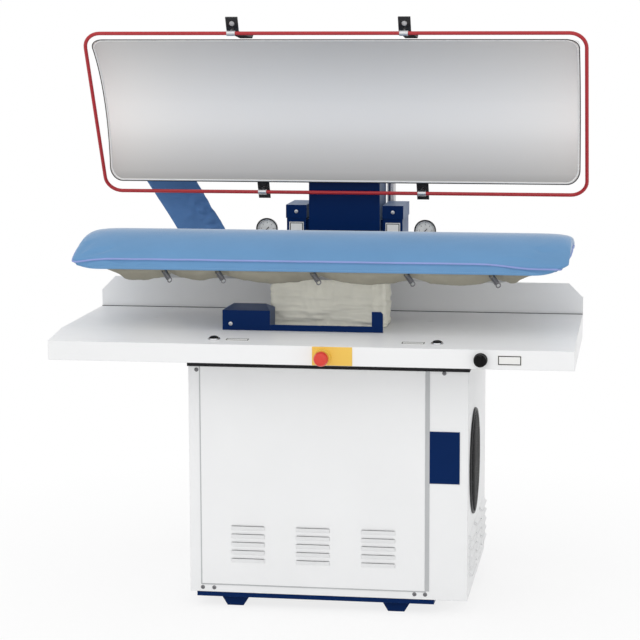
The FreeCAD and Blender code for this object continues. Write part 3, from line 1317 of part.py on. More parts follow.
def bar_bracket(x, y, side, skew):
    """Folded black bracket from the head cover, cranked sideways by its skew, out to one guide stem."""
    wall = BUCK_Y + side * (HEAD_HALF_Y - RIM_INSET + FIT)
    top = bar_level() + STEM_RISE - FIT
    low = top - BRACKET_THICK
    bend = y - side * STEM_HEAD_R
    nose = y + side * BRACKET_NOSE
    half = BRACKET_HALF
    foot = x + skew
    plan = [V(foot - half, wall, low), V(foot + half, wall, low), V(x + half, bend, low)]
    plan += [V(x + half, nose, low), V(x - half, nose, low), V(x - half, bend, low)]
    arm = closed_face(plan).extrude(V(0, 0, BRACKET_THICK))
    flange_y = wall + side * BRACKET_THICK
    flange = block(foot - half, foot + half, min(wall, flange_y), max(wall, flange_y),
                   low, top + BRACKET_RISE)
    hole = rod(STEM_R + FIT, V(x, y, low - SHEET), V(x, y, top + SHEET))
    return arm.fuse(flange).removeSplitter().cut(hole)


def bar_brackets():
    return group([opened(bar_bracket(*place)) for place in stem_places()])


GAUGE_FRONT = CHEEK_FRONT + GAUGE_SETBACK
GAUGE_Z = TABLE_TOP + GAUGE_RISE


def gauge_case(x):
    """Round case, open at the front."""
    inner = GAUGE_R - GAUGE_RIM
    outline = [(0.0, 0.0), (GAUGE_R - GAUGE_WALL, 0.0), (GAUGE_R - GAUGE_WALL, GAUGE_DEPTH - GAUGE_RIM)]
    outline += [(GAUGE_R, GAUGE_DEPTH - GAUGE_RIM), (GAUGE_R, GAUGE_DEPTH), (inner, GAUGE_DEPTH)]
    seat = GAUGE_DEPTH - DIAL_BEHIND - DIAL_THICK
    outline += [(inner, seat), (0.0, seat)]
    return turned(outline, V(x, GAUGE_FRONT + GAUGE_DEPTH, GAUGE_Z), V(0, -1, 0))


def gauge_disc(x, behind, thick, bore):
    """A thin disc inside a gauge, its front face some way behind the rim, holed if a bore is set."""
    start = V(x, GAUGE_FRONT + behind + thick, GAUGE_Z)
    end = V(x, GAUGE_FRONT + behind, GAUGE_Z)
    disc = rod(GAUGE_R - GAUGE_RIM - RUNNING, start, end)
    return disc.cut(rod(bore, start, end)) if bore else disc


def gauge_needle(x):
    """Pointer on its spindle, at zero at the lower left."""
    y = GAUGE_FRONT + DIAL_BEHIND / 2
    half = NEEDLE_WIDTH / 2
    tail = GAUGE_Z - NEEDLE_TAIL
    outline = [(x - half, tail), (x + half, tail), (x, GAUGE_Z + NEEDLE_LENGTH)]
    blade = front_profile(outline, y, y + NEEDLE_THICK)
    back = GAUGE_FRONT + DIAL_BEHIND + DIAL_THICK - RUNNING
    spindle = rod(NEEDLE_PIN_R, V(x, y, GAUGE_Z), V(x, back, GAUGE_Z))
    pointer = blade.fuse(spindle).removeSplitter()
    pointer.rotate(V(x, 0, GAUGE_Z), V(0, 1, 0), NEEDLE_ZERO)
    return pointer


def gauge_pipe(x):
    """Bent pipe from the hinge box up to one gauge."""
    side = math.copysign(1.0, x)
    y = GAUGE_FRONT + GAUGE_DEPTH / 2
    low = GAUGE_Z - 2 * GAUGE_R
    points = [V(side * CHEEK_OUTER, y, low), V(x, y, low), V(x, y, GAUGE_Z - GAUGE_R + GAUGE_WALL - FIT)]
    return bent_pipe(points, PIPE_BEND, PIPE_R)


def steam_pipes():
    """Gauge pipes, the hose manifold left of the column and the vent pipe behind the right-hand box."""
    made = [gauge_pipe(-GAUGE_X), gauge_pipe(GAUGE_X)]
    z = TABLE_TOP + MANIFOLD_RISE
    made.append(rod(MANIFOLD_R, V(-COLUMN_HALF, HINGE_Y, z), V(MANIFOLD_LEFT, HINGE_Y, z)))
    y = (CHEEK_FRONT + CHEEK_DEPTH + SHEET + FIT + BACK) / 2
    foot = V(VENT_X + VENT_R, y, SHELF_Z)
    made.append(tube(VENT_R, VENT_R - SHEET, foot, foot + V(0, 0, VENT_RISE - CHEEK_BOX_RISE)))
    return group(made)


def fitting_foot(x):
    """Where one steam stub meets the rear wall of the closed head."""
    edge = AXIS_Z + math.sqrt(CHEST_R ** 2 - HEAD_HALF_Y ** 2)
    return V(x, BUCK_Y + HEAD_HALF_Y - RIM_INSET, edge + ELBOW_RISE)


def head_fittings():
    """Steam inlet and outlet stubs on the rear wall of the head."""
    made = []
    for x in (SLEEVE_TOP_X - ELBOW_SPREAD / 2, SLEEVE_TOP_X + ELBOW_SPREAD / 2):
        foot = fitting_foot(x)
        made.append(opened(rod(ELBOW_R, foot, foot + V(0, ELBOW_REACH, 0))))
    return group(made)


def hose_sleeve():
    """Cloth sleeve of the steam hoses, hanging from the stubs on the head to the manifold."""
    end = fitting_foot(SLEEVE_TOP_X) + V(0, ELBOW_REACH + ELBOW_R + FIT, 0)
    angle = math.radians(OPEN_ANGLE)
    y = end.y - HINGE_Y
    z = end.z - HINGE_Z
    y1 = HINGE_Y + y * math.cos(angle) + z * math.sin(angle)
    z1 = HINGE_Z - y * math.sin(angle) + z * math.cos(angle)
    z0 = TABLE_TOP + MANIFOLD_RISE + MANIFOLD_R + FIT

    def section(x, y, z):
        points = [V(x - HOSE_HALF, y - HOSE_THICK / 2, z), V(x + HOSE_HALF, y - HOSE_THICK / 2, z),
                  V(x + HOSE_HALF, y + HOSE_THICK / 2, z), V(x - HOSE_HALF, y + HOSE_THICK / 2, z)]
        return Part.makePolygon(points + points[:1])

    return Part.makeLoft([section(SLEEVE_FOOT_X, HINGE_Y, z0), section(SLEEVE_TOP_X, y1, z1)], True, True)


NODES = {
    "base_frame": base_frame,
    "feet": feet,
    "cabinet_frame": cabinet_frame,
    "cabinet_left_side": cabinet_left_side,
    "cabinet_right_side": cabinet_right_side,
    "cabinet_back": cabinet_back,
    "cabinet_floor": cabinet_floor,
    "cabinet_front_frame": cabinet_front_frame,
    "front_panel": front_panel,
    "panel_screws": panel_screws,
    "blank_plate": blank_plate,
    "fan_grille": fan_grille,
    "fan_housing": fan_housing,
    "fan_motor": fan_motor,
    "fan_impeller": fan_impeller,
    "suction_duct": suction_duct,
    "table_top": table_top,
    "table_upstand": table_upstand,
    "table_beams": table_beams,
    "start_button_bezels": start_button_bezels,
    "start_button_left": lambda: start_button(BUTTON_X[0]),
    "start_button_right": lambda: start_button(BUTTON_X[1]),
    "label_plates": label_plates,
    "estop_plate": estop_plate,
    "estop_collar": estop_collar,
    "estop_button": estop_button,
    "selector_bezel": selector_bezel,
    "selector_knob": selector_knob,
    "base_tray": base_tray,
    "bracket_box": bracket_box,
    "pedestal": pedestal,
    "canvas_sleeve": canvas_sleeve,
    "buck_pan": buck_pan,
    "buck_padding": buck_padding,
    "buck_cover": buck_cover,
    "buck_undercover": buck_undercover,
    "cover_hooks": cover_hooks,
    "column_frame": column_frame,
    "column_shroud": column_shroud,
    "cheek_boxes": cheek_boxes,
    "cheek_lids": cheek_lids,
    "pivot_shaft": pivot_shaft,
    "shaft_collars": shaft_collars,
    "head_arm": head_arm,
    "head_plate": head_plate,
    "head_chest": head_chest,
    "head_cover": head_cover,
    "head_fittings": head_fittings,
    "safety_bar": safety_bar,
    "bar_brackets": bar_brackets,
    "gauge_cases": lambda: group([gauge_case(-GAUGE_X), gauge_case(GAUGE_X)]),
    "gauge_dials": lambda: group([gauge_disc(x, DIAL_BEHIND, DIAL_THICK, NEEDLE_PIN_R + RUNNING)
                                  for x in (-GAUGE_X, GAUGE_X)]),
    "gauge_glasses": lambda: group([gauge_disc(x, FIT, GLASS_THICK, 0.0) for x in (-GAUGE_X, GAUGE_X)]),
    "gauge_needle_left": lambda: gauge_needle(-GAUGE_X),
    "gauge_needle_right": lambda: gauge_needle(GAUGE_X),
    "steam_pipes": steam_pipes,
    "hose_sleeve": hose_sleeve,
    "cylinder_barrel": cylinder_barrel,
    "cylinder_rod": cylinder_rod,
    "cylinder_yoke": cylinder_yoke,
}

os.makedirs("parts", exist_ok=True)
for name, make in NODES.items():
    make().exportStep("parts/" + name + ".step")
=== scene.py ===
import json
import math

import bmesh
import bpy
from mathutils import Euler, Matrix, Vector, noise
from mathutils.bvhtree import BVHTree


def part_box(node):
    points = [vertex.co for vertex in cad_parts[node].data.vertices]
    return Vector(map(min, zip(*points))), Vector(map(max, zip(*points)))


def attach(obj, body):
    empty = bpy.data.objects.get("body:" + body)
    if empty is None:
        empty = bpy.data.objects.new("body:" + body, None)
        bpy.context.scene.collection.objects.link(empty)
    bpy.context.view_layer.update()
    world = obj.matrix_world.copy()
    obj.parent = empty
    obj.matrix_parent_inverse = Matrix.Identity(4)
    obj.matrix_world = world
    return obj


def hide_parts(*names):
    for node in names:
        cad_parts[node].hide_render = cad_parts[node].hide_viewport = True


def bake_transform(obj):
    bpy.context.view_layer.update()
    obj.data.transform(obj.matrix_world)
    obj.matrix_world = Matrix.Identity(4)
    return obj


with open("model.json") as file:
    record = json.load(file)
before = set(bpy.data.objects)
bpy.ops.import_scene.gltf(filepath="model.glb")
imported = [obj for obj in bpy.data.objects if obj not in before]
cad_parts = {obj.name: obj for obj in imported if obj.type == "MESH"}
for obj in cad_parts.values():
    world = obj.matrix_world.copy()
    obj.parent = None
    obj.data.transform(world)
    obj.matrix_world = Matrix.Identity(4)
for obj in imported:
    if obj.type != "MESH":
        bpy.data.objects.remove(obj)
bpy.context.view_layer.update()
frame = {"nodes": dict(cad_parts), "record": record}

bl_info = {
    "name": "Laundry press dressing",
    "version": (1, 0, 0),
    "blender": (4, 5, 0),
    "location": "3D View > Sidebar > Laundry press",
    "description": "Cloth, hardware, finishes and stage for the packed laundry press",
    "category": "Object",
}

MERGE = 1e-5
# Sets the finishes made here apart from the plain ones that come with the frame
FINISH_PREFIX = "press_"

# Ways to look and turns
FRONT = Vector((0.0, -1.0, 0.0))
RIGHT = Vector((1.0, 0.0, 0.0))
HEAD_FRONT = Vector((0.0, -1.0, -0.5))
LABEL_FRONT = Vector((0.0, -1.0, 1.0))
ABOUT_X = Euler((math.pi / 2, 0.0, 0.0))
ABOUT_Y = Euler((0.0, math.pi / 2, 0.0))
UPRIGHT = Euler((0.0, 0.0, 0.0))
# Least lean of a normal towards a way for its face to look that way
SIDE_LEAN = 0.3
FRONT_LEAN = 0.6

# Finishes
NOISE_ROUGHNESS = 0.55
BLEND_SPAN = (0.3, 0.7)
BEVEL_SAMPLES = 4
FINE_BEVEL = 0.0008
WORN_LEAN = (0.985, 0.90)
WORN_PATCH = (0.50, 0.62)
PRIMER = (0.42, 0.42, 0.42)
DUST_TINT = (0.55, 0.72, 1.0, 1.0)
# Painted light and shade on the pressing face, standing in for the reflections of its curve: place across the
# face and share of its colour there, brightest across its middle and darker towards both long edges
FACE_PAINTED_SHADING = ((0.0, 0.40), (0.06, 0.54), (0.24, 0.86), (0.37, 1.02), (0.54, 1.0), (0.80, 0.77), (1.0, 0.66))
# A wave texture has 20 bands in a turn at a scale of 1
WAVE_BANDS = 20.0

# Steps of the cloth meshes
CROWN_ROWS = 17
CROWN_END_STEPS = 6
CROWN_RUN_STEPS = 34
CORNER_STEPS = 4
CANVAS_STEP = 0.006
SLEEVE_LEVELS = 34
SLEEVE_STEP = 0.005
HOSE_ROWS = 46
HOSE_AROUND = 56

# Cover: share of the tuck that the lighter piping follows, least seam height in seam drops, levels of the
# skirt; the piping's lighter colour is a painted highlight along the edge
SEAM_FOLLOW = 0.8
SEAM_CLEARANCE = 2.2
SKIRT_LEVELS = (0.3, 0.55, 0.75, 0.9)
COVER_SLACK = 0.004
COVER_PRESSURE = 0.6
BENDING = 0.4

# Under-cover: (way in, fall) of each level, share of its room it falls through, lift at the ends, creases
CANVAS_PROFILE = ((0.0, 0.0), (0.25, 0.3), (0.55, 0.55), (0.8, 0.8), (0.95, 0.97), (1.35, 1.0), (1.9, 0.82))
CANVAS_FALL = 0.88
CANVAS_END_LIFT = 0.8
CANVAS_CREASES = Vector((26.0, 26.0, 60.0))

# Folds with sharp ridges and a finer ripple
RIDGE_DEPTH = 2.4
RIPPLE_DEPTH = 0.5

# Pedestal sleeve
SLEEVE_CORNER = 0.014
SLEEVE_GRAVITY = 0.3
SLEEVE_FOLD_WIDE = 5.0
SLEEVE_FOLD_HIGH = 34.0
SLEEVE_FOLD_SLANT = 3.0
SLEEVE_RIPPLE = 2.3
SLEEVE_TIED = 0.12
SLEEVE_FOOT = 0.3
SLEEVE_CREASES = Vector((8.0, 8.0, 70.0))
SLEEVE_CREASE_GAIN = 1.6
SLEEVE_CREASE_LEAST = -0.3

# Hose sleeve: shares of its length between which it bends, narrowing, flatness, folds
HOSE_WAIST = 0.04
HOSE_SQUARE = 0.6
HOSE_FLAT = 0.72
HOSE_DRIFT_X = (1.4, 4.0)
HOSE_DRIFT_Y = (1.8, 13.0)
HOSE_RIDGE = 0.6
HOSE_RIPPLE = 2.6
HOSE_SHALLOW = 1.4
HOSE_DEEPER = 3.6
HOSE_DEEP_SIDE = (-0.4, 0.5)

# Sides and steps of the round hardware
WIRE_SIDES = 6
CORD_SIDES = 8
BEAD_SIDES = 10
BAR_SIDES = 16
WASHER_SIDES = 20
FITTING_SIDES = 24
GAUGE_STEPS = 48
GUARD_STEPS = 72
COIL_STEPS = 14
EYE_STEPS = 18
SCREW_SEGMENTS = 24
SCREW_RINGS = 12
STITCH_SEGMENTS = 6
STITCH_RINGS = 4
BAR_CORNER_STEPS = 8
LETTER_STEPS = 3

# Shapes of the hardware, as shares of its radius or length
SCREW_SHAPE = {"Head height": 0.45, "Recess depth": 0.3}
RECESS_LENGTH = 1.1
RECESS_WIDTH = 0.22
BOLT_SHAPE = {"Head height": 0.8, "Washer radius": 1.4, "Washer height": 0.2}
EYE_REACH = 0.72
HOOK_HANG = 1.35
HOOK_LEAN = 0.5
HOOK_TURN = -0.7
BAR_ENDS = 0.85
TICK_PLACE = 0.86
SMALL_TICK = 0.6
NUMBER_PLACE = 0.62
TICKS_PER_NUMBER = 5
NUMBER_STEP = 2


def length(name, description, default):
    """A size in metres that a user may change."""
    return bpy.props.FloatProperty(name=name, description=description, default=default, unit="LENGTH",
                                   precision=4)


def position(name, description, default):
    """A point that a user may move."""
    return bpy.props.FloatVectorProperty(name=name, description=description, default=default,
                                         subtype="TRANSLATION")


def angle(name, description, degrees):
    """An angle that a user may change, given here in degrees."""
    return bpy.props.FloatProperty(name=name, description=description, default=math.radians(degrees),
                                   subtype="ANGLE")


def share(name, description, default):
    """A plain share or strength."""
    return bpy.props.FloatProperty(name=name, description=description, default=default)


def number(name, description, default):
    """A count."""
    return bpy.props.IntProperty(name=name, description=description, default=default)


def colour(name, description, default):
    """A surface colour, linear."""
    return bpy.props.FloatVectorProperty(name=name, description=description, default=default, size=3,
                                         subtype="COLOR", min=0.0, max=1.0)


class PressStageSettings(bpy.types.PropertyGroup):
    """Camera, lamps and floor."""

    azimuth: angle("Azimuth", "How far the camera stands to the right of the front", 8.752)
    elevation: angle("Elevation", "How far the camera looks down", 8.228)
    roll: angle("Roll", "Turn of the camera about its own axis", -0.17)
    distance: length("Distance", "From the camera to its target", 6.21)
    lens: bpy.props.FloatProperty(name="Lens", description="Focal length on a 36 mm sensor", default=122.1,
                                  unit="CAMERA")
    target: position("Target", "Point at the middle of the picture", (-0.0125, -0.122, 0.798))
    key_place: position("Key place", "Place of the lamp above the front left", (-1.3, -4.3, 4.8))
    key_power: share("Key power", "Watts of the lamp above the front left", 44.0)
    key_size: length("Key size", "Side of the lamp above the front left", 4.0)
    fill_place: position("Fill place", "Place of the lamp low at the front", (0.9, -6.0, 1.2))
    fill_power: share("Fill power", "Watts of the lamp low at the front", 17.0)
    fill_size: length("Fill size", "Side of the lamp low at the front", 2.6)
    sky_level: share("Sky level", "Strength of the even light from all round", 0.90)
    floor_glow: share("Floor glow", "Share of plain white that the camera sees near the press", 0.8)
    floor_near: length("Floor near", "Distance from the press at which the floor starts to turn white", 0.6)
    floor_far: length("Floor far", "Distance from the press at which the floor is plain white", 1.8)
    floor_size: length("Floor size", "Side of the square floor", 60.0)
    floor_colour: colour("Floor colour", "Colour of the floor where it is not plain white", (0.9, 0.9, 0.9))
    floor_rough: share("Floor roughness", "Roughness of the floor", 0.9)


class PressFinishSettings(bpy.types.PropertyGroup):
    """Colours of the finishes."""

    white_enamel: colour("White enamel", "Powder coat of the cabinet and table", (0.86, 0.865, 0.87))
    navy_enamel: colour("Navy enamel", "Enamel of the base, column and arm", (0.0012, 0.017, 0.088))
    polished_steel: colour("Pressing face", "Satin polished shoe", (0.97, 0.935, 0.895))
    plain_steel: colour("Plain steel", "Plated fittings", (0.56, 0.56, 0.57))
    cast_aluminium: colour("Cast aluminium", "Pan, chest and cylinder", (0.62, 0.62, 0.62))
    blue_cloth: colour("Blue cloth", "Cover of the buck", (0.148, 0.312, 0.540))
    # The sleeve canvas is lightened, painted light; the under-cover canvas below is a darker copy of it,
    # painted shade
    canvas: colour("Canvas", "Pedestal sleeve", (0.88, 0.865, 0.76))
    worn_canvas: colour("Worn canvas", "Under-cover of the buck", (0.31, 0.295, 0.24))
    felt: colour("Felt", "Padding under the cover", (0.55, 0.53, 0.48))
    hose_cloth: colour("Hose cloth", "Sleeve around the hoses", (0.088, 0.190, 0.395))
    black_metal: colour("Black metal", "Brackets, guard and motor", (0.012, 0.012, 0.014))
    red_enamel: colour("Red enamel", "Safety bar", (0.42, 0.020, 0.026))
    red_plastic: colour("Red plastic", "Stop button", (0.68, 0.040, 0.024))
    yellow_plastic: colour("Yellow plastic", "Plate and collar of the stop button", (0.85, 0.54, 0.085))
    black_plastic: colour("Black plastic", "Buttons and selector", (0.0056, 0.0052, 0.0056))
    bezel_chrome: colour("Bright bezel", "Button bezels and gauge cases", (0.70, 0.70, 0.71))
    label_white: colour("Label white", "Blank labels and gauge dials", (0.83, 0.83, 0.81))
    gauge_glass: colour("Gauge glass", "Windows of the gauges", (0.95, 0.97, 0.98))
    thread: colour("Thread", "Stitches", (0.26, 0.42, 0.66))
    # Lighter than the cover cloth: painted highlight along the cover's edge
    piping: colour("Piping", "Cord sewn along the edge of the cover", (0.29, 0.36, 0.68))
    print_black: colour("Print", "Label borders and dial marks", (0.02, 0.02, 0.022))
    # Grey of the lines and the band around the service panel: painted shade of the gaps at its edges
    seal_grey: colour("Seal", "Rubber seal around the service panel", (0.48, 0.49, 0.50))
    spring_steel: colour("Spring steel", "Cover hooks and panel screws", (0.20, 0.20, 0.21))


class PressClothSettings(bpy.types.PropertyGroup):
    """Sizes of the cloth pieces."""

    crown_radius: length("Crown radius", "Radius of the buck across its depth", 0.5)
    plan_corner: length("Plan corner", "Corner radius of the cover seen from above", 0.022)
    end_round: length("End round", "Length over which the crown falls at each end", 0.045)
    end_drop: length("End drop", "Fall of the crown at each end", 0.012)
    seam_drop: length("Seam drop", "Height of the edge seam", 0.008)
    seam_depth: length("Seam depth", "How far the edge seam pulls in", 0.0026)
    piping_radius: length("Piping radius", "Radius of the cord sewn along the edge", 0.0026)
    tuck_length: length("Tuck length", "Length of the gathered corner at the right end", 0.26)
    tuck_fall: length("Tuck fall", "How far the seam runs down in the gathered corner", 0.022)
    cover_thick: length("Cover thickness", "Thickness of the cover cloth", 0.0022)
    hem_return: length("Hem return", "Cloth turned under at the hem", 0.014)
    tip_rise: length("Tip rise", "Height of the cover's end tips above the hem", 0.026)
    tip_draw: length("Tip draw", "How far the hem stands in from the left end tip", 0.068)
    tip_draw_right: length("Right tip draw", "How far the hem stands in from the right end tip", 0.085)
    tip_spread: length("Tip spread", "Length over which the hem is drawn in at each end", 0.16)
    tip_rise_right: length("Right tip rise", "Height of the right end tip above the hem", 0.056)
    canvas_draw: length("Canvas draw", "How far the canvas is drawn in below the hem", 0.036)
    canvas_corner: length("Canvas corner", "Corner radius of the canvas seen from above", 0.06)
    canvas_thick: length("Canvas thickness", "Thickness of the canvas", 0.0012)
    canvas_end: length("Canvas end", "Length over which the canvas runs up to the hem at each end", 0.085)
    canvas_reach: length("Canvas reach", "How far the canvas runs on under the end tips", 0.024)
    scallop_rise: length("Scallop rise", "How far the hooks lift the canvas edge", 0.024)
    scallop_reach: length("Scallop reach", "Distance from a hook over which it lifts the canvas", 0.050)
    gather_pitch: length("Gather pitch", "Spacing of the gathers that run from the hooks", 0.017)
    gather_depth: length("Gather depth", "Depth of the gathers that run from the hooks", 0.0032)
    scallop_bulge: length("Scallop bulge", "How far the canvas bellies out between hooks", 0.010)
    sleeve_slack: share("Sleeve slack", "Extra cloth in the pedestal sleeve", 0.10)
    sleeve_fold: length("Sleeve folds", "Depth of the level folds in the pedestal sleeve", 0.0055)
    sleeve_flare: length("Sleeve flare", "How far the foot of the pedestal sleeve spreads", 0.006)
    wrinkle_depth: length("Wrinkle depth", "Depth of the small folds", 0.0025)
    weave_pitch: length("Weave pitch", "Spacing of the threads", 0.0011)
    cap: length("Cap", "Furthest that the cloth may move while it settles", 0.007)
    settle_frames: number("Settling frames", "Frames that the cloth settles for", 20)


class PressHardwareSettings(bpy.types.PropertyGroup):
    """Sizes of the repeated hardware."""

    hook_coil: length("Hook coil", "Radius of the spring hooks' coil", 0.0062)
    hook_wire: length("Hook wire", "Radius of the spring hooks' wire", 0.0018)
    hook_length: length("Hook length", "Length of the spring hooks' coil", 0.024)
    hook_turns: share("Hook turns", "Turns in a spring hook", 5.0)
    guard_pitch: length("Guard pitch", "Spacing of the fan guard's wires", 0.008)
    guard_wire: length("Guard wire", "Radius of the fan guard's wires", 0.0012)
    tick_count: number("Dial ticks", "Marks on a gauge dial", 31)
    tick_sweep: angle("Dial sweep", "Angle from the first to the last mark", 270.0)
    stitch_pitch: length("Stitch pitch", "Spacing of the stitches", 0.0065)
    stitch_length: length("Stitch length", "Length of one stitch", 0.0042)
    stitch_radius: length("Stitch radius", "Radius of the thread", 0.0005)
    stitch_rise: length("Stitch rise", "Height of the stitches above the hem", 0.007)
    bolt_radius: length("Bolt radius", "Half width of the bolts on the bar's brackets", 0.0055)
    bolt_offset: length("Bolt offset", "From the safety bar to the bolts on its brackets", 0.018)
    clip_radius: length("Clip radius", "Radius of the clips around the safety bar", 0.0079)
    clip_length: length("Clip length", "Length of the clips around the safety bar", 0.0246)
    bar_corner: length("Bar corner", "Corner radius of the safety bar", 0.048)
    stem_radius: length("Stem radius", "Radius of the bar's stems", 0.004)
    stem_rise: length("Stem rise", "Length of the bar's stems up to their heads", 0.030)
    stem_head: length("Stem head", "Radius of the heads on the bar's stems", 0.009)
    # The white bead is a painted highlight of the pressing face's rounded edge; the dark line at its edge is a
    # painted shadow
    bead_radius: length("Bead radius", "Radius of the rolled bead along the pressing face", 0.0026)
    bead_inset: length("Bead inset", "From the edge of the pressing face to its rolled bead", 0.0045)
    shadow_line_radius: length("Edge radius", "Radius of the dark seal at the edge of the pressing face", 0.0013)
    gauge_rim: length("Gauge rim", "Radius of the dark rim of the gauges", 0.0022)
    # Grey lines around the service panel and a wider band along its right edge: painted shade of its gaps
    shade_line_width: length("Seal width", "Width of the seal around the service panel", 0.0032)
    shade_line_height: length("Seal height", "How far the seal stands out", 0.0016)
    shade_band_width: length("Panel hinge width", "Width of the strip along the right edge of the panel", 0.009)
    # The dark strip under the table is a painted shadow of the gap between cabinet and table
    shadow_gap_height: length("Gasket height", "Height of the dark gasket under the table", 0.030)
    shadow_gap_depth: length("Gasket depth", "How far the gasket stands out of the cabinet", 0.0032)
    joint_height: length("Joint height", "Height of the sealed joint between shelf and upstand", 0.0013)
    print_height: length("Print height", "Thickness of the printed marks", 0.0002)
    tick_length: length("Tick length", "Length of a main mark on a dial", 0.0050)
    tick_width: length("Tick width", "Width of a main mark on a dial", 0.0009)
    number_height: length("Number height", "Height of the numbers on a dial", 0.0060)
    border_inset: length("Border inset", "From a label's edge to its border", 0.0022)
    border_width: length("Border width", "Width of a label's border", 0.0024)


def stage_settings():
    return bpy.context.scene.press_stage


def finish_settings():
    return bpy.context.scene.press_finish


def cloth_settings():
    return bpy.context.scene.press_cloth


def hardware_settings():
    return bpy.context.scene.press_hardware


# Node building

def output_of(tree, kind, inputs=None, output=0, **settings):
    """An output of a new node that has its attributes and its inputs set."""
    node = tree.nodes.new(kind)
    for key, value in settings.items():
        setattr(node, key, value)
    set_inputs(tree, node, inputs or {})
    return node.outputs[output]


def set_inputs(tree, node, inputs):
    """Set each input of a node to a plain value, or link it to another node's output."""
    for key, value in inputs.items():
        if isinstance(value, bpy.types.NodeSocket):
            tree.links.new(value, node.inputs[key])
        else:
            node.inputs[key].default_value = value


def math_of(tree, operation, *values):
    """The result of a sum on plain values and outputs."""
    return output_of(tree, "ShaderNodeMath", dict(enumerate(values)), operation=operation)


def vector_of(tree, x, y, z):
    """A vector of three plain values or outputs."""
    return output_of(tree, "ShaderNodeCombineXYZ", {"X": x, "Y": y, "Z": z})


def dot_of(tree, first, second):
    return output_of(tree, "ShaderNodeVectorMath", {0: first, 1: second}, "Value", operation="DOT_PRODUCT")


# Shader building

def opaque(rgb):
    return (*rgb, 1.0)


def scaled(rgb, factor):
    """A colour made lighter or darker."""
    return tuple(min(channel * factor, 1.0) for channel in rgb)


def object_place(tree):
    return output_of(tree, "ShaderNodeTexCoord", output="Object")


def object_noise(tree, scale, detail=3.0, stretch=(1.0, 1.0, 1.0)):
    """Noise fixed to the object, drawn out along the axes with a small stretch."""
    drawn = output_of(tree, "ShaderNodeMapping", {"Vector": object_place(tree), "Scale": stretch})
    return output_of(tree, "ShaderNodeTexNoise", {
        "Vector": drawn, "Scale": scale, "Detail": detail, "Roughness": NOISE_ROUGHNESS})


def blended_colour(tree, factor, low, high):
    """A colour between two, by a factor."""
    ramp = tree.nodes.new("ShaderNodeValToRGB")
    for element, position, rgb in zip(ramp.color_ramp.elements, BLEND_SPAN, (low, high)):
        element.position = position
        element.color = opaque(rgb)
    tree.links.new(factor, ramp.inputs["Fac"])
    return ramp.outputs["Color"]


def mottled(tree, rgb, spread, scale, detail=3.0):
    """A colour that drifts a little lighter and darker over the surface."""
    drift = object_noise(tree, scale, detail)
    return blended_colour(tree, drift, scaled(rgb, 1.0 - spread), scaled(rgb, 1.0 + spread))


def ranged(tree, factor, low, high, start=0.0, end=1.0):
    """A value between two, by a factor that runs from start to end."""
    return output_of(tree, "ShaderNodeMapRange", {
        "Value": factor, "From Min": start, "From Max": end, "To Min": low, "To Max": high})


def bumped(tree, height, strength, distance, under=None):
    """Surface relief from a height, over another relief if one is given."""
    inputs = {"Height": height, "Strength": strength, "Distance": distance}
    if under is not None:
        inputs["Normal"] = under
    return output_of(tree, "ShaderNodeBump", inputs)


def softened_edges(tree, radius):
    """Edges that catch the light as if slightly rounded."""
    return output_of(tree, "ShaderNodeBevel", {"Radius": radius}, samples=BEVEL_SAMPLES)


def new_finish(name):
    """An empty procedural finish: its material, node tree and shader."""
    material = bpy.data.materials.new(FINISH_PREFIX + name)
    material.use_nodes = True
    return material, material.node_tree, material.node_tree.nodes["Principled BSDF"]


def worn_edges(tree, soft_normal):
    """0 on flat ground and up to 1 in patches along the edges, from how far a softened normal leans there."""
    true_normal = output_of(tree, "ShaderNodeNewGeometry", output="Normal")
    edge = ranged(tree, dot_of(tree, soft_normal, true_normal), 0.0, 1.0, *WORN_LEAN)
    patch = ranged(tree, object_noise(tree, 45.0, 4.0), 0.0, 1.0, *WORN_PATCH)
    return math_of(tree, "MULTIPLY", edge, patch)


def coated(name, rgb, rough, spread=0.03, grain=600.0, grain_depth=0.00005, gloss=0.5, bevel=0.0012,
           worn=None, dust=0.0):
    """Paint or plastic: mottled, with uneven gloss, a fine skin and, if given, worn edges and dust."""
    material, tree, shader = new_finish(name)
    soft = softened_edges(tree, bevel)
    shade = mottled(tree, rgb, spread, 5.0)
    if worn:
        shade = output_of(tree, "ShaderNodeMix", {0: worn_edges(tree, soft), 6: shade, 7: opaque(worn)}, 2,
                          data_type="RGBA")
    set_inputs(tree, shader, {
        "Base Color": shade,
        "Roughness": ranged(tree, object_noise(tree, 24.0), rough * 0.8, rough * 1.25),
        "Normal": bumped(tree, object_noise(tree, grain, 2.0), 0.25, grain_depth, soft),
        "Specular IOR Level": gloss, "Sheen Weight": dust, "Sheen Roughness": 0.2, "Sheen Tint": DUST_TINT})
    return material


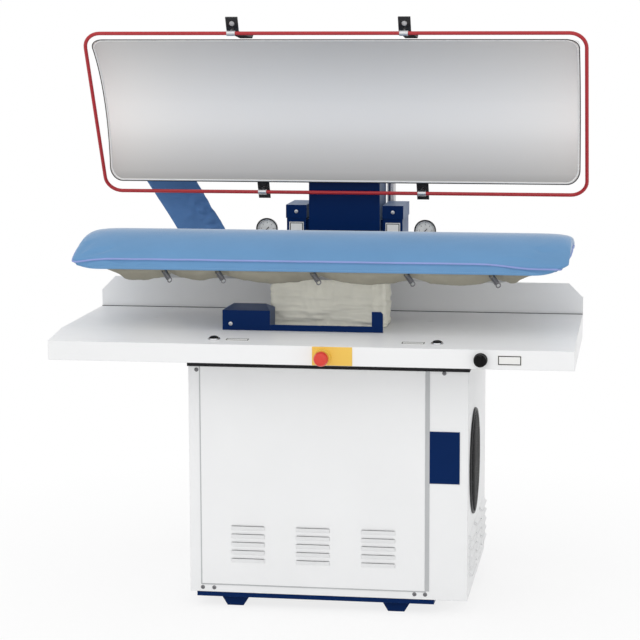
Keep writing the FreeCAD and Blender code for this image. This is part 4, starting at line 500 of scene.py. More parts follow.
def pressing_face(name, rgb, rough):
    """Satin metal with a drawn grain, and painted light and shade in its colour: brightest along its middle and
    darker towards its edges, standing in for the reflections of the curved face.
    """
    material, tree, shader = new_finish(name)
    low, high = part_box("head_plate")
    across = Vector((0.0, low.y - high.y, high.z - low.z)).normalized()
    middle = across.dot((low + high) / 2)
    half = abs(across.y) * (high.y - low.y) / 2 + across.z * (high.z - low.z) / 2
    place = dot_of(tree, object_place(tree), across)
    ramp = tree.nodes.new("ShaderNodeValToRGB")
    ramp.color_ramp.interpolation = "B_SPLINE"
    shades = [(position, opaque(scaled(rgb, level))) for position, level in FACE_PAINTED_SHADING]
    first, last = ramp.color_ramp.elements
    first.color = shades[0][1]
    last.color = shades[-1][1]
    for position, shade in shades[1:-1]:
        ramp.color_ramp.elements.new(position).color = shade
    set_inputs(tree, ramp, {"Fac": ranged(tree, place, 0.0, 1.0, middle - half, middle + half)})
    streaks = object_noise(tree, 240.0, 4.0, (0.02, 1.0, 1.0))
    set_inputs(tree, shader, {
        "Base Color": ramp.outputs["Color"],
        "Roughness": ranged(tree, streaks, rough * 0.9, rough * 1.1),
        "Normal": bumped(tree, streaks, 0.15, 0.00003, softened_edges(tree, FINE_BEVEL)),
        "Metallic": 0.1})
    return material


def metal(name, rgb, rough, grain=220.0, grain_depth=0.00004):
    """Bare metal with a fine grain."""
    material, tree, shader = new_finish(name)
    streaks = object_noise(tree, grain, 4.0)
    shade = blended_colour(tree, object_noise(tree, 9.0), scaled(rgb, 0.94), scaled(rgb, 1.05))
    set_inputs(tree, shader, {
        "Base Color": shade,
        "Roughness": ranged(tree, streaks, rough * 0.85, rough * 1.2),
        "Normal": bumped(tree, streaks, 0.2, grain_depth, softened_edges(tree, FINE_BEVEL)),
        "Metallic": 1.0})
    return material


def woven(name, rgb, rough, pitch, relief, sheen, blotch=0.05):
    """Cloth: crossing threads, soft blotches of colour and a sheen."""
    material, tree, shader = new_finish(name)
    place = object_place(tree)
    wave = {"Vector": place, "Scale": math.tau / (WAVE_BANDS * pitch), "Distortion": 0.6, "Detail": 1.0}
    threads = [output_of(tree, "ShaderNodeTexWave", wave, "Fac", bands_direction=axis) for axis in "XYZ"]
    weave = math_of(tree, "MULTIPLY_ADD", *threads)
    soft = bumped(tree, object_noise(tree, 38.0, 3.0), 0.25, 0.0012)
    set_inputs(tree, shader, {
        "Base Color": mottled(tree, rgb, blotch, 7.0, 4.0),
        "Roughness": ranged(tree, weave, rough * 1.1, rough * 0.9),
        "Normal": bumped(tree, weave, 0.3, relief, soft),
        "Specular IOR Level": 0.05, "Sheen Weight": sheen, "Sheen Roughness": 0.25})
    return material


def clear_glass(name, rgb):
    """Thin clear window with faint smears."""
    material, tree, shader = new_finish(name)
    smears = object_noise(tree, 60.0, 3.0)
    set_inputs(tree, shader, {
        "Base Color": blended_colour(tree, smears, scaled(rgb, 0.97), rgb),
        "Roughness": ranged(tree, smears, 0.0, 0.04),
        "Transmission Weight": 1.0, "Alpha": 0.2, "IOR": 1.03, "Specular IOR Level": 0.2})
    return material


def make_finishes():
    """Every finish by name: the record's slots, and more for the darker copy of the canvas that paints shade on
    the under-cover, and the trimmings.
    """
    paint = finish_settings()
    pitch = cloth_settings().weave_pitch
    enamel = dict(rough=0.36, gloss=0.4)
    plastic = dict(spread=0.03, grain=900.0)
    printed = dict(grain=900.0, grain_depth=0.00002)
    heavy = dict(pitch=pitch * 1.5, relief=0.0003)
    fine = dict(pitch=pitch / 2.0, relief=0.0001)
    recipes = {
        "white_enamel": (coated, dict(enamel, spread=0.012, grain=420.0, grain_depth=0.00004, bevel=0.0018,
                                      worn=scaled(paint.white_enamel, 0.80))),
        "navy_enamel": (coated, dict(enamel, spread=0.05, grain=500.0, grain_depth=0.00003, gloss=0.06,
                                     bevel=0.0015, worn=scaled(paint.navy_enamel, 2.4), dust=0.8)),
        "red_enamel": (coated, dict(enamel, rough=0.34, spread=0.05, grain_depth=0.00003, bevel=0.0006)),
        "black_metal": (coated, dict(enamel, rough=0.42, spread=0.12, grain=700.0, grain_depth=0.00008,
                                     bevel=0.001, worn=PRIMER)),
        "red_plastic": (coated, dict(plastic, rough=0.30, grain_depth=0.00002)),
        "yellow_plastic": (coated, dict(plastic, rough=0.36, grain_depth=0.00003)),
        "black_plastic": (coated, dict(rough=0.40, spread=0.10, grain=1100.0, gloss=0.1)),
        "label_white": (coated, dict(printed, rough=0.45, spread=0.015, bevel=0.0003)),
        "print_black": (coated, dict(printed, rough=0.5, spread=0.1, gloss=0.1, bevel=0.0001)),
        "seal_grey": (coated, dict(rough=0.7, spread=0.06, grain=700.0, grain_depth=0.00006, gloss=0.3,
                                   bevel=0.0004)),
        "polished_steel": (pressing_face, dict(rough=0.48)),
        "plain_steel": (metal, dict(rough=0.34)),
        "spring_steel": (metal, dict(rough=0.30)),
        "cast_aluminium": (metal, dict(rough=0.55, grain=340.0, grain_depth=0.0003)),
        "bezel_chrome": (metal, dict(rough=0.16, grain=500.0, grain_depth=0.00001)),
        "blue_cloth": (woven, dict(rough=0.62, pitch=pitch, relief=0.00012, sheen=0.85, blotch=0.035)),
        "canvas": (woven, dict(heavy, rough=0.85, sheen=0.04, blotch=0.09)),
        # Darker copy of the canvas: painted shade on the under-cover
        "worn_canvas": (woven, dict(heavy, rough=0.9, sheen=0.02, blotch=0.14)),
        "felt": (woven, dict(rough=0.95, pitch=pitch * 2.0, relief=0.0004, sheen=0.3, blotch=0.08)),
        "hose_cloth": (woven, dict(rough=0.7, pitch=pitch, relief=0.00015, sheen=0.05, blotch=0.07)),
        "thread": (woven, dict(fine, rough=0.8, sheen=0.2)),
        "piping": (woven, dict(fine, rough=0.7, sheen=0.3)),
        "gauge_glass": (clear_glass, {}),
    }
    return {name: make(name, getattr(paint, name), **values) for name, (make, values) in recipes.items()}


def finish(slot):
    return bpy.data.materials[FINISH_PREFIX + slot]


# Mesh building

def new_piece(name, mesh, slot, body=None, replaced=()):
    """A finished mesh as a piece: its finish, its body and the CAD nodes it stands for."""
    piece = bpy.data.objects.new(name, mesh)
    bpy.context.scene.collection.objects.link(piece)
    mesh.materials.clear()
    mesh.materials.append(finish(slot))
    dress_piece(piece, body, replaced)
    return piece


def dress_piece(piece, body, replaced):
    """The calls that tie a finished piece to the frame."""
    if body:
        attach(piece, body)
    if replaced:
        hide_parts(*replaced)


def mesh_from(name, points, faces, smooth=True):
    """A mesh of points and faces with its faces turned outwards."""
    mesh = bpy.data.meshes.new(name)
    mesh.from_pydata([tuple(p) for p in points], [], faces)
    shape = bmesh.new()
    shape.from_mesh(mesh)
    bmesh.ops.recalc_face_normals(shape, faces=shape.faces)
    shape.to_mesh(mesh)
    shape.free()
    for face in mesh.polygons:
        face.use_smooth = smooth
    return mesh


def applied(mesh, modifiers):
    """The mesh after some modifiers, given as (type, settings)."""
    carrier = bpy.data.objects.new("carrier", mesh)
    bpy.context.scene.collection.objects.link(carrier)
    for kind, settings in modifiers:
        modifier = carrier.modifiers.new(kind.title(), kind)
        for key, value in settings.items():
            setattr(modifier, key, value)
    return taken_from(carrier)


def taken_from(carrier):
    """The evaluated mesh of a working object, which is then removed."""
    graph = bpy.context.evaluated_depsgraph_get()
    made = bpy.data.meshes.new_from_object(carrier.evaluated_get(graph), depsgraph=graph)
    made.name = carrier.name
    bpy.data.objects.remove(carrier)
    return made


def subdivided(levels):
    return ("SUBSURF", {"levels": levels, "render_levels": levels})


def thickened(depth, offset=-1.0):
    return ("SOLIDIFY", {"thickness": depth, "offset": offset})


def ring_faces(count, first, second):
    """Quads between two closed rings that start at the given point numbers."""
    return [(first + i, first + (i + 1) % count, second + (i + 1) % count, second + i) for i in range(count)]


def islands(node):
    """The separate solids of a CAD node, in a fixed order, as their points and (normal, area, points) faces."""
    shape = bmesh.new()
    shape.from_mesh(frame["nodes"][node].data)
    bmesh.ops.remove_doubles(shape, verts=shape.verts, dist=MERGE)
    waiting = dict.fromkeys(shape.verts)
    found = []
    while waiting:
        front = [waiting.popitem()[0]]
        members = []
        while front:
            vert = front.pop()
            members.append(vert)
            for edge in vert.link_edges:
                other = edge.other_vert(vert)
                if other in waiting:
                    del waiting[other]
                    front.append(other)
        faces = dict.fromkeys(face for vert in members for face in vert.link_faces)
        found.append(([v.co.copy() for v in members],
                      [(f.normal.copy(), f.calc_area(), [v.co.copy() for v in f.verts]) for f in faces]))
    shape.free()
    return sorted(found, key=lambda island: middle_of(island[0])[:])


def middle_of(points):
    """Middle of the box around some points."""
    low = Vector(min(p[i] for p in points) for i in range(3))
    high = Vector(max(p[i] for p in points) for i in range(3))
    return (low + high) / 2


def largest_side(faces, towards):
    """Normal and points of the largest flat side of a solid that looks a given way."""
    sides = {}
    for normal, area, points in faces:
        if normal.dot(towards) > SIDE_LEAN:
            side = sides.setdefault(tuple(round(value, 1) for value in normal), [0.0, normal, []])
            side[0] += area
            side[2].extend(points)
    area, normal, points = max(sides.values(), key=lambda side: side[0])
    return normal, points


def front_outline(node, towards):
    """The edges around the side of a CAD node that looks a given way, as a mesh of edges only."""
    shape = bmesh.new()
    shape.from_mesh(frame["nodes"][node].data)
    bmesh.ops.remove_doubles(shape, verts=shape.verts, dist=MERGE)
    ahead = {face for face in shape.faces if face.normal.dot(towards) > FRONT_LEAN}
    away = [face for face in shape.faces if face not in ahead]
    bmesh.ops.delete(shape, geom=away, context="FACES")
    rim = [edge for edge in shape.edges if len(edge.link_faces) == 1]
    ends = {}
    pairs = [tuple(ends.setdefault(vert, len(ends)) for vert in edge.verts) for edge in rim]
    mesh = bpy.data.meshes.new(node + "_outline")
    mesh.from_pydata([tuple(vert.co) for vert in ends], pairs, [])
    shape.free()
    return mesh


def merged(mesh):
    """The same mesh with its doubled points joined and its faces turned outwards."""
    shape = bmesh.new()
    shape.from_mesh(mesh)
    bmesh.ops.remove_doubles(shape, verts=shape.verts, dist=MERGE)
    bmesh.ops.recalc_face_normals(shape, faces=shape.faces)
    shape.to_mesh(mesh)
    shape.free()
    return mesh


def surface_of(mesh):
    """The surface of a mesh, for finding the nearest point on it."""
    return BVHTree.FromPolygons([v.co for v in mesh.vertices], [tuple(p.vertices) for p in mesh.polygons])


def facing(way):
    """Turn that stands a shape made along Z up so that it looks a given way."""
    return tuple(Vector((0.0, 0.0, 1.0)).rotation_difference(way).to_euler())


def smooth_step(low, high, value):
    """0 below low, 1 above high, with soft ends."""
    t = min(max((value - low) / (high - low), 0.0), 1.0)
    return t * t * (3.0 - 2.0 * t)


# Geometry node building

def new_tree(name, values):
    """A geometry node tree with named inputs, their outlets by name, and its output node."""
    tree = bpy.data.node_groups.new(name, "GeometryNodeTree")
    tree.interface.new_socket("Geometry", in_out="INPUT", socket_type="NodeSocketGeometry")
    for label, value in values.items():
        kind = "NodeSocketInt" if isinstance(value, int) else "NodeSocketFloat"
        tree.interface.new_socket(label, in_out="INPUT", socket_type=kind).default_value = value
    tree.interface.new_socket("Geometry", in_out="OUTPUT", socket_type="NodeSocketGeometry")
    return tree, tree.nodes.new("NodeGroupInput").outputs, tree.nodes.new("NodeGroupOutput")


def close_tree(tree, output, geometry, slot):
    """Realize, set the finish and send to the output."""
    real = output_of(tree, "GeometryNodeRealizeInstances", {"Geometry": geometry})
    coat = output_of(tree, "GeometryNodeSetMaterial", {"Geometry": real, "Material": finish(slot)})
    set_inputs(tree, output, {"Geometry": coat})
    return tree


def grown(name, mesh, build, values, *options):
    """The plain mesh that a tree makes from a start mesh, with its inputs set by identifier."""
    carrier = bpy.data.objects.new(name, mesh)
    bpy.context.scene.collection.objects.link(carrier)
    modifier = carrier.modifiers.new("Growth", "NODES")
    modifier.node_group = build(values, *options)
    for socket in modifier.node_group.interface.items_tree:
        if socket.in_out == "INPUT" and socket.name in values:
            modifier[socket.identifier] = values[socket.name]
    return taken_from(carrier)


def marked_points(name, places, turns, sizes):
    """Loose points with a turn and a size for what is set on them."""
    mesh = bpy.data.meshes.new(name)
    mesh.from_pydata([tuple(p) for p in places], [], [])
    turn = mesh.attributes.new("turn", "FLOAT_VECTOR", "POINT")
    turn.data.foreach_set("vector", [value for angles in turns for value in angles])
    size = mesh.attributes.new("size", "FLOAT", "POINT")
    size.data.foreach_set("value", sizes)
    return mesh


def named_mark(tree, name, kind):
    return output_of(tree, "GeometryNodeInputNamedAttribute", {"Name": name}, "Attribute", data_type=kind)


def set_on_points(tree, start, shape):
    """One copy of a shape on each marked point."""
    points = output_of(tree, "GeometryNodeMeshToPoints", {"Mesh": start})
    turn = named_mark(tree, "turn", "FLOAT_VECTOR")
    return output_of(tree, "GeometryNodeInstanceOnPoints", {
        "Points": points, "Instance": shape,
        "Rotation": output_of(tree, "FunctionNodeEulerToRotation", {"Euler": turn}),
        "Scale": named_mark(tree, "size", "FLOAT")})


def close_copies(tree, ports, output, shape, slot):
    """Send one copy of a shape on each marked point to the output."""
    return close_tree(tree, output, set_on_points(tree, ports["Geometry"], shape), slot)


def circle(tree, steps, radius):
    return output_of(tree, "GeometryNodeCurvePrimitiveCircle", {"Resolution": steps, "Radius": radius})


def ball(tree, segments, rings):
    """A ball of one unit in radius."""
    return output_of(tree, "GeometryNodeMeshUVSphere", {"Segments": segments, "Rings": rings, "Radius": 1.0})


def drum(tree, sides, radius, depth):
    return output_of(tree, "GeometryNodeMeshCylinder", {"Vertices": sides, "Radius": radius, "Depth": depth})


def tube_along(tree, path, sides, radius, caps=False):
    """A round tube along a curve."""
    return output_of(tree, "GeometryNodeCurveToMesh", {
        "Curve": path, "Profile Curve": circle(tree, sides, radius), "Fill Caps": caps})


def moved(tree, geometry, **change):
    """Geometry with a translation, rotation or scale."""
    inputs = {key.title(): value for key, value in change.items()}
    return output_of(tree, "GeometryNodeTransform", {"Geometry": geometry, **inputs})


def joined(tree, parts):
    """All the given geometry as one."""
    node = tree.nodes.new("GeometryNodeJoinGeometry")
    for part in parts:
        tree.links.new(part, node.inputs["Geometry"])
    return node.outputs[0]


# Cloth

def half_depth(x, half_x, half_y, corner):
    """Half the depth of a rounded rectangle at x from its middle."""
    over = abs(x) - (half_x - corner)
    if over <= 0.0:
        return half_y
    return half_y - corner + math.sqrt(max(corner ** 2 - over ** 2, 0.0))


def stations(half_x, corner, steps_in_corner, steps_between):
    """Places along the buck, close together in its rounded ends."""
    ends = [corner * (1.0 - math.cos(math.pi / 2 * i / steps_in_corner)) for i in range(steps_in_corner)]
    run = 2 * (half_x - corner)
    middle = [-half_x + corner + run * i / steps_between for i in range(steps_between + 1)]
    return [-half_x + e for e in ends] + middle + [half_x - e for e in reversed(ends)]


def buck_crown(inset):
    """Points of the crowned top as columns of points, from left to right and front to back."""
    cloth = cloth_settings()
    low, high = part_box("buck_cover")
    half_x = (high.x - low.x) / 2 - inset
    half_y = (high.y - low.y) / 2 - inset
    middle = (low + high) / 2
    radius = cloth.crown_radius - inset
    axis_z = high.z - cloth.crown_radius
    columns = []
    for x in stations(half_x, cloth.plan_corner, CROWN_END_STEPS, CROWN_RUN_STEPS):
        depth = half_depth(x, half_x, half_y, cloth.plan_corner)
        reach = max(abs(x) - (half_x - cloth.end_round), 0.0) / cloth.end_round
        drop = cloth.end_drop * (1.0 - math.sqrt(max(1.0 - reach ** 2, 0.0)))
        column = []
        for row in range(CROWN_ROWS):
            y = depth * math.sin(math.pi / 2 * (2.0 * row / (CROWN_ROWS - 1) - 1.0))
            z = axis_z + math.sqrt(radius ** 2 - y ** 2) - drop
            column.append(Vector((middle.x + x, middle.y + y, z)))
        columns.append(column)
    return columns


def rim_of(columns):
    """Point numbers around the edge of a grid of columns, counted column by column."""
    rows = len(columns[0])
    last = len(columns) - 1
    front = [c * rows for c in range(last + 1)]
    right = [last * rows + r for r in range(1, rows)]
    back = [c * rows + rows - 1 for c in range(last - 1, -1, -1)]
    left = [r for r in range(rows - 2, 0, -1)]
    return front + right + back + left


def outward(loop):
    """Level directions that point out of a closed loop running anticlockwise from above."""
    ways = []
    for i, point in enumerate(loop):
        along = loop[(i + 1) % len(loop)] - loop[i - 1]
        ways.append(Vector((along.y, -along.x, 0.0)).normalized())
    return ways


def skirted(columns, rings):
    """A crowned top with rings of points below its edge; each ring gives the point below an edge point."""
    points = [p for column in columns for p in column]
    rows = len(columns[0])
    faces = []
    for c in range(len(columns) - 1):
        for r in range(rows - 1):
            first = c * rows + r
            faces.append((first, first + rows, first + rows + 1, first + 1))
    rim = rim_of(columns)
    loop = [points[i] for i in rim]
    ways = outward(loop)
    above = rim
    for ring in rings:
        start = len(points)
        points += [ring(edge, way) for edge, way in zip(loop, ways)]
        level = list(range(start, start + len(rim)))
        count = len(rim)
        faces += [(above[i], level[i], level[(i + 1) % count], above[(i + 1) % count]) for i in range(count)]
        above = level
    return points, faces


def below_edge(edge, way, out, height):
    """The point at a height under an edge point, drawn in under the end tips."""
    cloth = cloth_settings()
    low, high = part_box("buck_cover")
    middle = (low.x + high.x) / 2
    half = (high.x - low.x) / 2
    offset = edge.x - middle
    near_end = smooth_step(half - cloth.tip_spread, half, abs(offset))
    rise = cloth.tip_rise_right if offset > 0.0 else cloth.tip_rise
    most = cloth.tip_draw_right if offset > 0.0 else cloth.tip_draw
    under = min(max((low.z + rise - height) / rise, 0.0), 1.0)
    draw = most * near_end * (1.0 - math.sqrt(1.0 - under ** 2))
    return Vector((edge.x - math.copysign(draw, offset), edge.y, height)) + way * out


def seam_height(edge, follows):
    """Height of the edge seam under an edge point, falling into the tuck by a share."""
    cloth = cloth_settings()
    low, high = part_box("buck_cover")
    right = smooth_step(high.x - cloth.tuck_length, high.x - cloth.plan_corner, edge.x)
    left = smooth_step(low.x + cloth.tuck_length / 2, low.x, edge.x)
    fall = cloth.tuck_fall * (right + left / 2)
    return max(edge.z - cloth.seam_drop / 4 - fall * follows, low.z + SEAM_CLEARANCE * cloth.seam_drop)


def cover_rings():
    """Rings from the edge of the crown down over the seam to the hem, with the tuck at the right end."""
    cloth = cloth_settings()
    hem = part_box("buck_cover")[0].z
    depth = cloth.seam_depth

    def at_seam(out, down, follows):
        return lambda edge, way: below_edge(edge, way, out, seam_height(edge, follows) - down)

    def to_hem(out, way_down):
        def ring(edge, way):
            start = seam_height(edge, 1.0) - cloth.seam_drop
            return below_edge(edge, way, out, start + (hem - start) * way_down)
        return ring

    rings = [at_seam(depth / 2, 0.0, SEAM_FOLLOW), at_seam(-depth, cloth.seam_drop / 3, 1.0),
             at_seam(depth / 3, cloth.seam_drop, 1.0)]
    rings += [to_hem(depth / 3, way_down) for way_down in SKIRT_LEVELS]
    return rings + [to_hem(-depth, 1.0), to_hem(-cloth.hem_return, 1.0)]


def even_steps(loop, pitch):
    """(place, level heading) in even steps around a closed loop."""
    found = []
    spare = 0.0
    for i, end in enumerate(loop):
        start = loop[i - 1]
        run = (end - start).length
        heading = math.atan2(end.y - start.y, end.x - start.x)
        while spare < run:
            found.append((start.lerp(end, spare / run), heading))
            spare += pitch
        spare -= run
    return found


def around_box(low, high, corner, step):
    """(place, outward direction) around a box with rounded corners, seen from above, in even steps."""
    middle = (low + high) / 2
    half = (high - low) / 2
    found = []
    for sx, sy, run in ((1, -1, half.y), (1, 1, half.x), (-1, 1, half.y), (-1, -1, half.x)):
        centre = Vector((middle.x + sx * (half.x - corner), middle.y + sy * (half.y - corner), 0.0))
        start = math.atan2(sy, sx) - math.pi / 4
        for i in range(CORNER_STEPS):
            turn = start + math.pi / 2 * i / CORNER_STEPS
            out = Vector((math.cos(turn), math.sin(turn), 0.0))
            found.append((centre + out * corner, out))
        out = Vector((math.cos(start + math.pi / 2), math.sin(start + math.pi / 2), 0.0))
        way = Vector((-out.y, out.x, 0.0))
        straight = 2 * (run - corner)
        steps = max(int(straight / step), 1)
        for i in range(steps):
            found.append((centre + out * corner + way * (straight * i / steps), out))
    return found


def held_between(start, end, reach):
    """The end point, brought back to at most reach from the start point."""
    move = end - start
    return start + move * min(1.0, reach / max(move.length, MERGE))


def settled(mesh, pinned, slack, gravity, pressure, reach):
    """The mesh after its cloth has settled between its pinned points."""
    cloth_values = cloth_settings()
    start = [v.co.copy() for v in mesh.vertices]
    carrier = bpy.data.objects.new(mesh.name, mesh)
    bpy.context.scene.collection.objects.link(carrier)
    group = carrier.vertex_groups.new(name="pinned")
    group.add(pinned, 1.0, "REPLACE")
    cloth = carrier.modifiers.new("Cloth", "CLOTH")
    cloth.settings.vertex_group_mass = group.name
    cloth.settings.shrink_min = -slack
    cloth.settings.bending_stiffness = BENDING
    cloth.settings.effector_weights.gravity = gravity
    cloth.settings.use_pressure = pressure > 0.0
    cloth.settings.uniform_pressure_force = pressure
    cloth.collision_settings.use_collision = False
    scene = bpy.context.scene
    for step in range(1, cloth_values.settle_frames + 1):
        scene.frame_set(step)
    made = taken_from(carrier)
    scene.frame_set(1)
    for vert, before in zip(made.vertices, start):
        vert.co = held_between(before, vert.co, reach)
    return made


def crease(mesh, frequency, depth, least=-1.0):
    """Small folds out of the cloth, and into it down to a least share of their depth."""
    for vert in mesh.vertices:
        out = noise.fractal(vert.co * frequency, 1.0, 2.0, 3)
        vert.co += vert.normal * max(out, least) * depth


def ridged(place, top, finer):
    """Height of folds that have sharp ridges and a finer ripple."""
    return top - RIDGE_DEPTH * abs(noise.noise(place)) + RIPPLE_DEPTH * noise.noise(place * finer)


def smoothed(mesh):
    """The same mesh, shaded smooth."""
    for face in mesh.polygons:
        face.use_smooth = True
    return mesh


class PRESS_OT_finishes(bpy.types.Operator):
    """Give every CAD node its finish"""

    bl_idname = "press.finishes"
    bl_label = "Finishes"

    def execute(self, context):
        finishes = make_finishes()
        for part in frame["record"]["subparts"]:
            node = frame["nodes"][part["node"]]
            node.data.materials.clear()
            node.data.materials.append(finishes[part["material_slot"]])
        return {"FINISHED"}


class PRESS_OT_buck_cover(bpy.types.Operator):
    """Make the blue cover and the felt under it"""

    bl_idname = "press.buck_cover"
    bl_label = "Buck cover and felt"

    def execute(self, context):
        self.cover()
        self.felt()
        return {"FINISHED"}

    def cover(self):
        cloth = cloth_settings()
        columns = buck_crown(0.0)
        points, faces = skirted(columns, cover_rings())
        mesh = applied(mesh_from("buck_cover_cloth", points, faces), [subdivided(2)])
        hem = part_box("buck_cover")[0].z + cloth.seam_drop
        pinned = [v.index for v in mesh.vertices if v.co.z < hem]
        mesh = settled(mesh, pinned, COVER_SLACK, 0.0, COVER_PRESSURE, cloth.seam_depth)
        mesh.name = "buck_cover_cloth"
        mesh = applied(mesh, [thickened(cloth.cover_thick)])
        piece = new_piece("buck_cover_cloth", smoothed(mesh), "blue_cloth", "frame", ["buck_cover"])
        points = [p for column in columns for p in column]
        loop = [points[i] for i in rim_of(columns)]
        surface = surface_of(mesh)
        self.piping(loop, surface)
        self.stitches(loop, surface)

    def piping(self, loop, surface):
        """A thin cord sewn along the edge seam, in a lighter colour that is a painted highlight along the
        cover's edge.
        """
        cloth = cloth_settings()
        path = []
        for edge, way in zip(loop, outward(loop)):
            place = below_edge(edge, way, cloth.seam_depth, seam_height(edge, SEAM_FOLLOW))
            on_cloth, normal = surface.find_nearest(place)[:2]
            path.append(on_cloth + normal * cloth.piping_radius / 4)
        start = loop_mesh("piping_path", path)
        made = grown("cover_piping", start, sweep_tree, {"Radius": cloth.piping_radius}, "Piping", "piping",
                     CORD_SIDES)
        new_piece("cover_piping", smoothed(made), "piping", "frame")

    def stitches(self, loop, surface):
        """A row of stitches around the hem, lying on the cloth."""
        sizes = hardware_settings()
        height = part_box("buck_cover")[0].z + sizes.stitch_rise
        row = [below_edge(edge, way, 0.0, height) for edge, way in zip(loop, outward(loop))]
        places = []
        turns = []
        for place, heading in even_steps(row, sizes.stitch_pitch):
            places.append(surface.find_nearest(place)[0])
            turns.append((0.0, 0.0, heading))
        start = marked_points("stitch_places", places, turns, [1.0] * len(places))
        made = grown("cover_stitches", start, stitch_tree, {
            "Stitch length": sizes.stitch_length, "Thread radius": sizes.stitch_radius})
        new_piece("cover_stitches", smoothed(made), "thread", "frame")

    def felt(self):
        cloth = cloth_settings()
        low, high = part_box("buck_padding")
        gap = 2 * cloth.cover_thick
        columns = buck_crown(2 * gap)
        rings = [lambda edge, way: below_edge(edge, way, -gap / 2, edge.z - gap),
                 lambda edge, way: below_edge(edge, way, -gap, low.z + 2 * gap),
                 lambda edge, way: below_edge(edge, way, -2 * gap, low.z)]
        points, faces = skirted(columns, rings)
        depth = 2 * gap + cloth.seam_drop / 2
        mesh = applied(mesh_from("buck_felt_pad", points, faces), [subdivided(1), thickened(depth)])
        piece = new_piece("buck_felt_pad", smoothed(mesh), "felt", "frame", ["buck_padding"])


class PRESS_OT_under_cover(bpy.types.Operator):
    """Make the canvas drawn up under the hem by its hooks"""

    bl_idname = "press.under_cover"
    bl_label = "Canvas under-cover"

    def execute(self, context):
        cloth = cloth_settings()
        low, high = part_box("buck_undercover")
        edges = around_box(low, high, cloth.canvas_corner, CANVAS_STEP)
        hooks = [middle_of(points) for points, faces in islands("cover_hooks")]
        points = []
        faces = []
        count = len(edges)
        for level, (inward, fall) in enumerate(CANVAS_PROFILE):
            for edge, way in edges:
                points.append(self.canvas_point(edge, way, inward, fall, hooks, low, high))
            if level:
                faces += ring_faces(count, (level - 1) * count, level * count)
        mesh = applied(mesh_from("buck_canvas", points, faces), [subdivided(1)])
        crease(mesh, CANVAS_CREASES, cloth.wrinkle_depth)
        mesh = applied(mesh, [thickened(cloth.canvas_thick)])
        piece = new_piece("buck_canvas", smoothed(mesh), "worn_canvas", "frame", ["buck_undercover"])
        return {"FINISHED"}

    def canvas_point(self, edge, way, inward, fall, hooks, low, high):
        """A point of the canvas: drawn in below the hem, gathered up at the hooks, full between them."""
        cloth = cloth_settings()
        middle = (low + high) / 2
        half = (high.x - low.x) / 2
        side = 1.0 if edge.y > middle.y else -1.0
        hook = min((h for h in hooks if (h.y - middle.y) * side > 0.0), key=lambda h: abs(edge.x - h.x))
        near = abs(edge.x - hook.x)
        held = math.exp(-near / cloth.scallop_reach)
        at_end = smooth_step(half - cloth.canvas_end, half, abs(edge.x - middle.x))
        drop = (high.z - low.z) * CANVAS_FALL * fall * (1.0 - CANVAS_END_LIFT * at_end)
        lift = cloth.scallop_rise * held * fall * (1.0 - at_end)
        round_out = math.sin(math.pi * min(fall, 1.0))
        belly = round_out * (1.0 - held) * cloth.scallop_bulge
        gather = round_out * held * cloth.gather_depth * math.cos(math.tau * near / cloth.gather_pitch)
        run_on = math.copysign(cloth.canvas_reach * at_end * (1.0 - fall), edge.x - middle.x)
        place = Vector((edge.x + run_on, edge.y, high.z - drop + lift))
        return place + way * (belly + gather - inward * cloth.canvas_draw)


class PRESS_OT_pedestal_sleeve(bpy.types.Operator):
    """Make the loose canvas sleeve around the pedestal"""

    bl_idname = "press.pedestal_sleeve"
    bl_label = "Pedestal sleeve"

    def execute(self, context):
        cloth = cloth_settings()
        low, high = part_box("canvas_sleeve")
        levels = SLEEVE_LEVELS
        outline = around_box(low, high, SLEEVE_CORNER, SLEEVE_STEP)
        points = []
        faces = []
        count = len(outline)
        for level in range(levels + 1):
            height = low.z + (high.z - low.z) * level / levels
            for edge, out in outline:
                place = Vector((edge.x, edge.y, height))
                points.append(place + out * self.fold(place, level / levels))
            if level:
                faces += ring_faces(count, (level - 1) * count, level * count)
        mesh = mesh_from("pedestal_canvas", points, faces)
        pinned = list(range(count)) + list(range(levels * count, (levels + 1) * count))
        mesh = settled(mesh, pinned, cloth.sleeve_slack, SLEEVE_GRAVITY, 0.0, cloth.cap)
        mesh.name = "pedestal_canvas"
        self.keep_clear(mesh)
        mesh = applied(mesh, [subdivided(1)])
        crease(mesh, SLEEVE_CREASES, SLEEVE_CREASE_GAIN * cloth.wrinkle_depth, SLEEVE_CREASE_LEAST)
        mesh = applied(mesh, [thickened(cloth.canvas_thick)])
        piece = new_piece("pedestal_canvas", smoothed(mesh), "canvas", "frame", ["canvas_sleeve"])
        return {"FINISHED"}

    def fold(self, place, t):
        """How far the cloth stands out of its room at a share of its height: folds and a spread foot."""
        cloth = cloth_settings()
        drift = Vector((place.x * SLEEVE_FOLD_WIDE, place.y * SLEEVE_FOLD_WIDE,
                        place.z * SLEEVE_FOLD_HIGH + place.x * SLEEVE_FOLD_SLANT))
        held = smooth_step(0.0, SLEEVE_TIED, t) * smooth_step(1.0, 1.0 - SLEEVE_TIED, t)
        flare = cloth.sleeve_flare * max(1.0 - t / SLEEVE_FOOT, 0.0) ** 2
        return cloth.sleeve_fold * (held * ridged(drift, 1.0, SLEEVE_RIPPLE) - 1.0) + flare

    def keep_clear(self, mesh):
        """Hold the folds between the pedestal and the outside of the room that the sleeve has."""
        cloth = cloth_settings()
        low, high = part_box("canvas_sleeve")
        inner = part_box("pedestal")
        gap = 3 * cloth.canvas_thick
        for vert in mesh.vertices:
            place = vert.co
            inside = [min(place[i] - inner[0][i], inner[1][i] - place[i]) + gap for i in (0, 1)]
            if min(inside) > 0.0:
                axis = inside.index(min(inside))
                middle = (inner[0][axis] + inner[1][axis]) / 2
                place[axis] += math.copysign(inside[axis], place[axis] - middle)
            for axis in (0, 1):
                place[axis] = min(max(place[axis], low[axis]), high[axis])


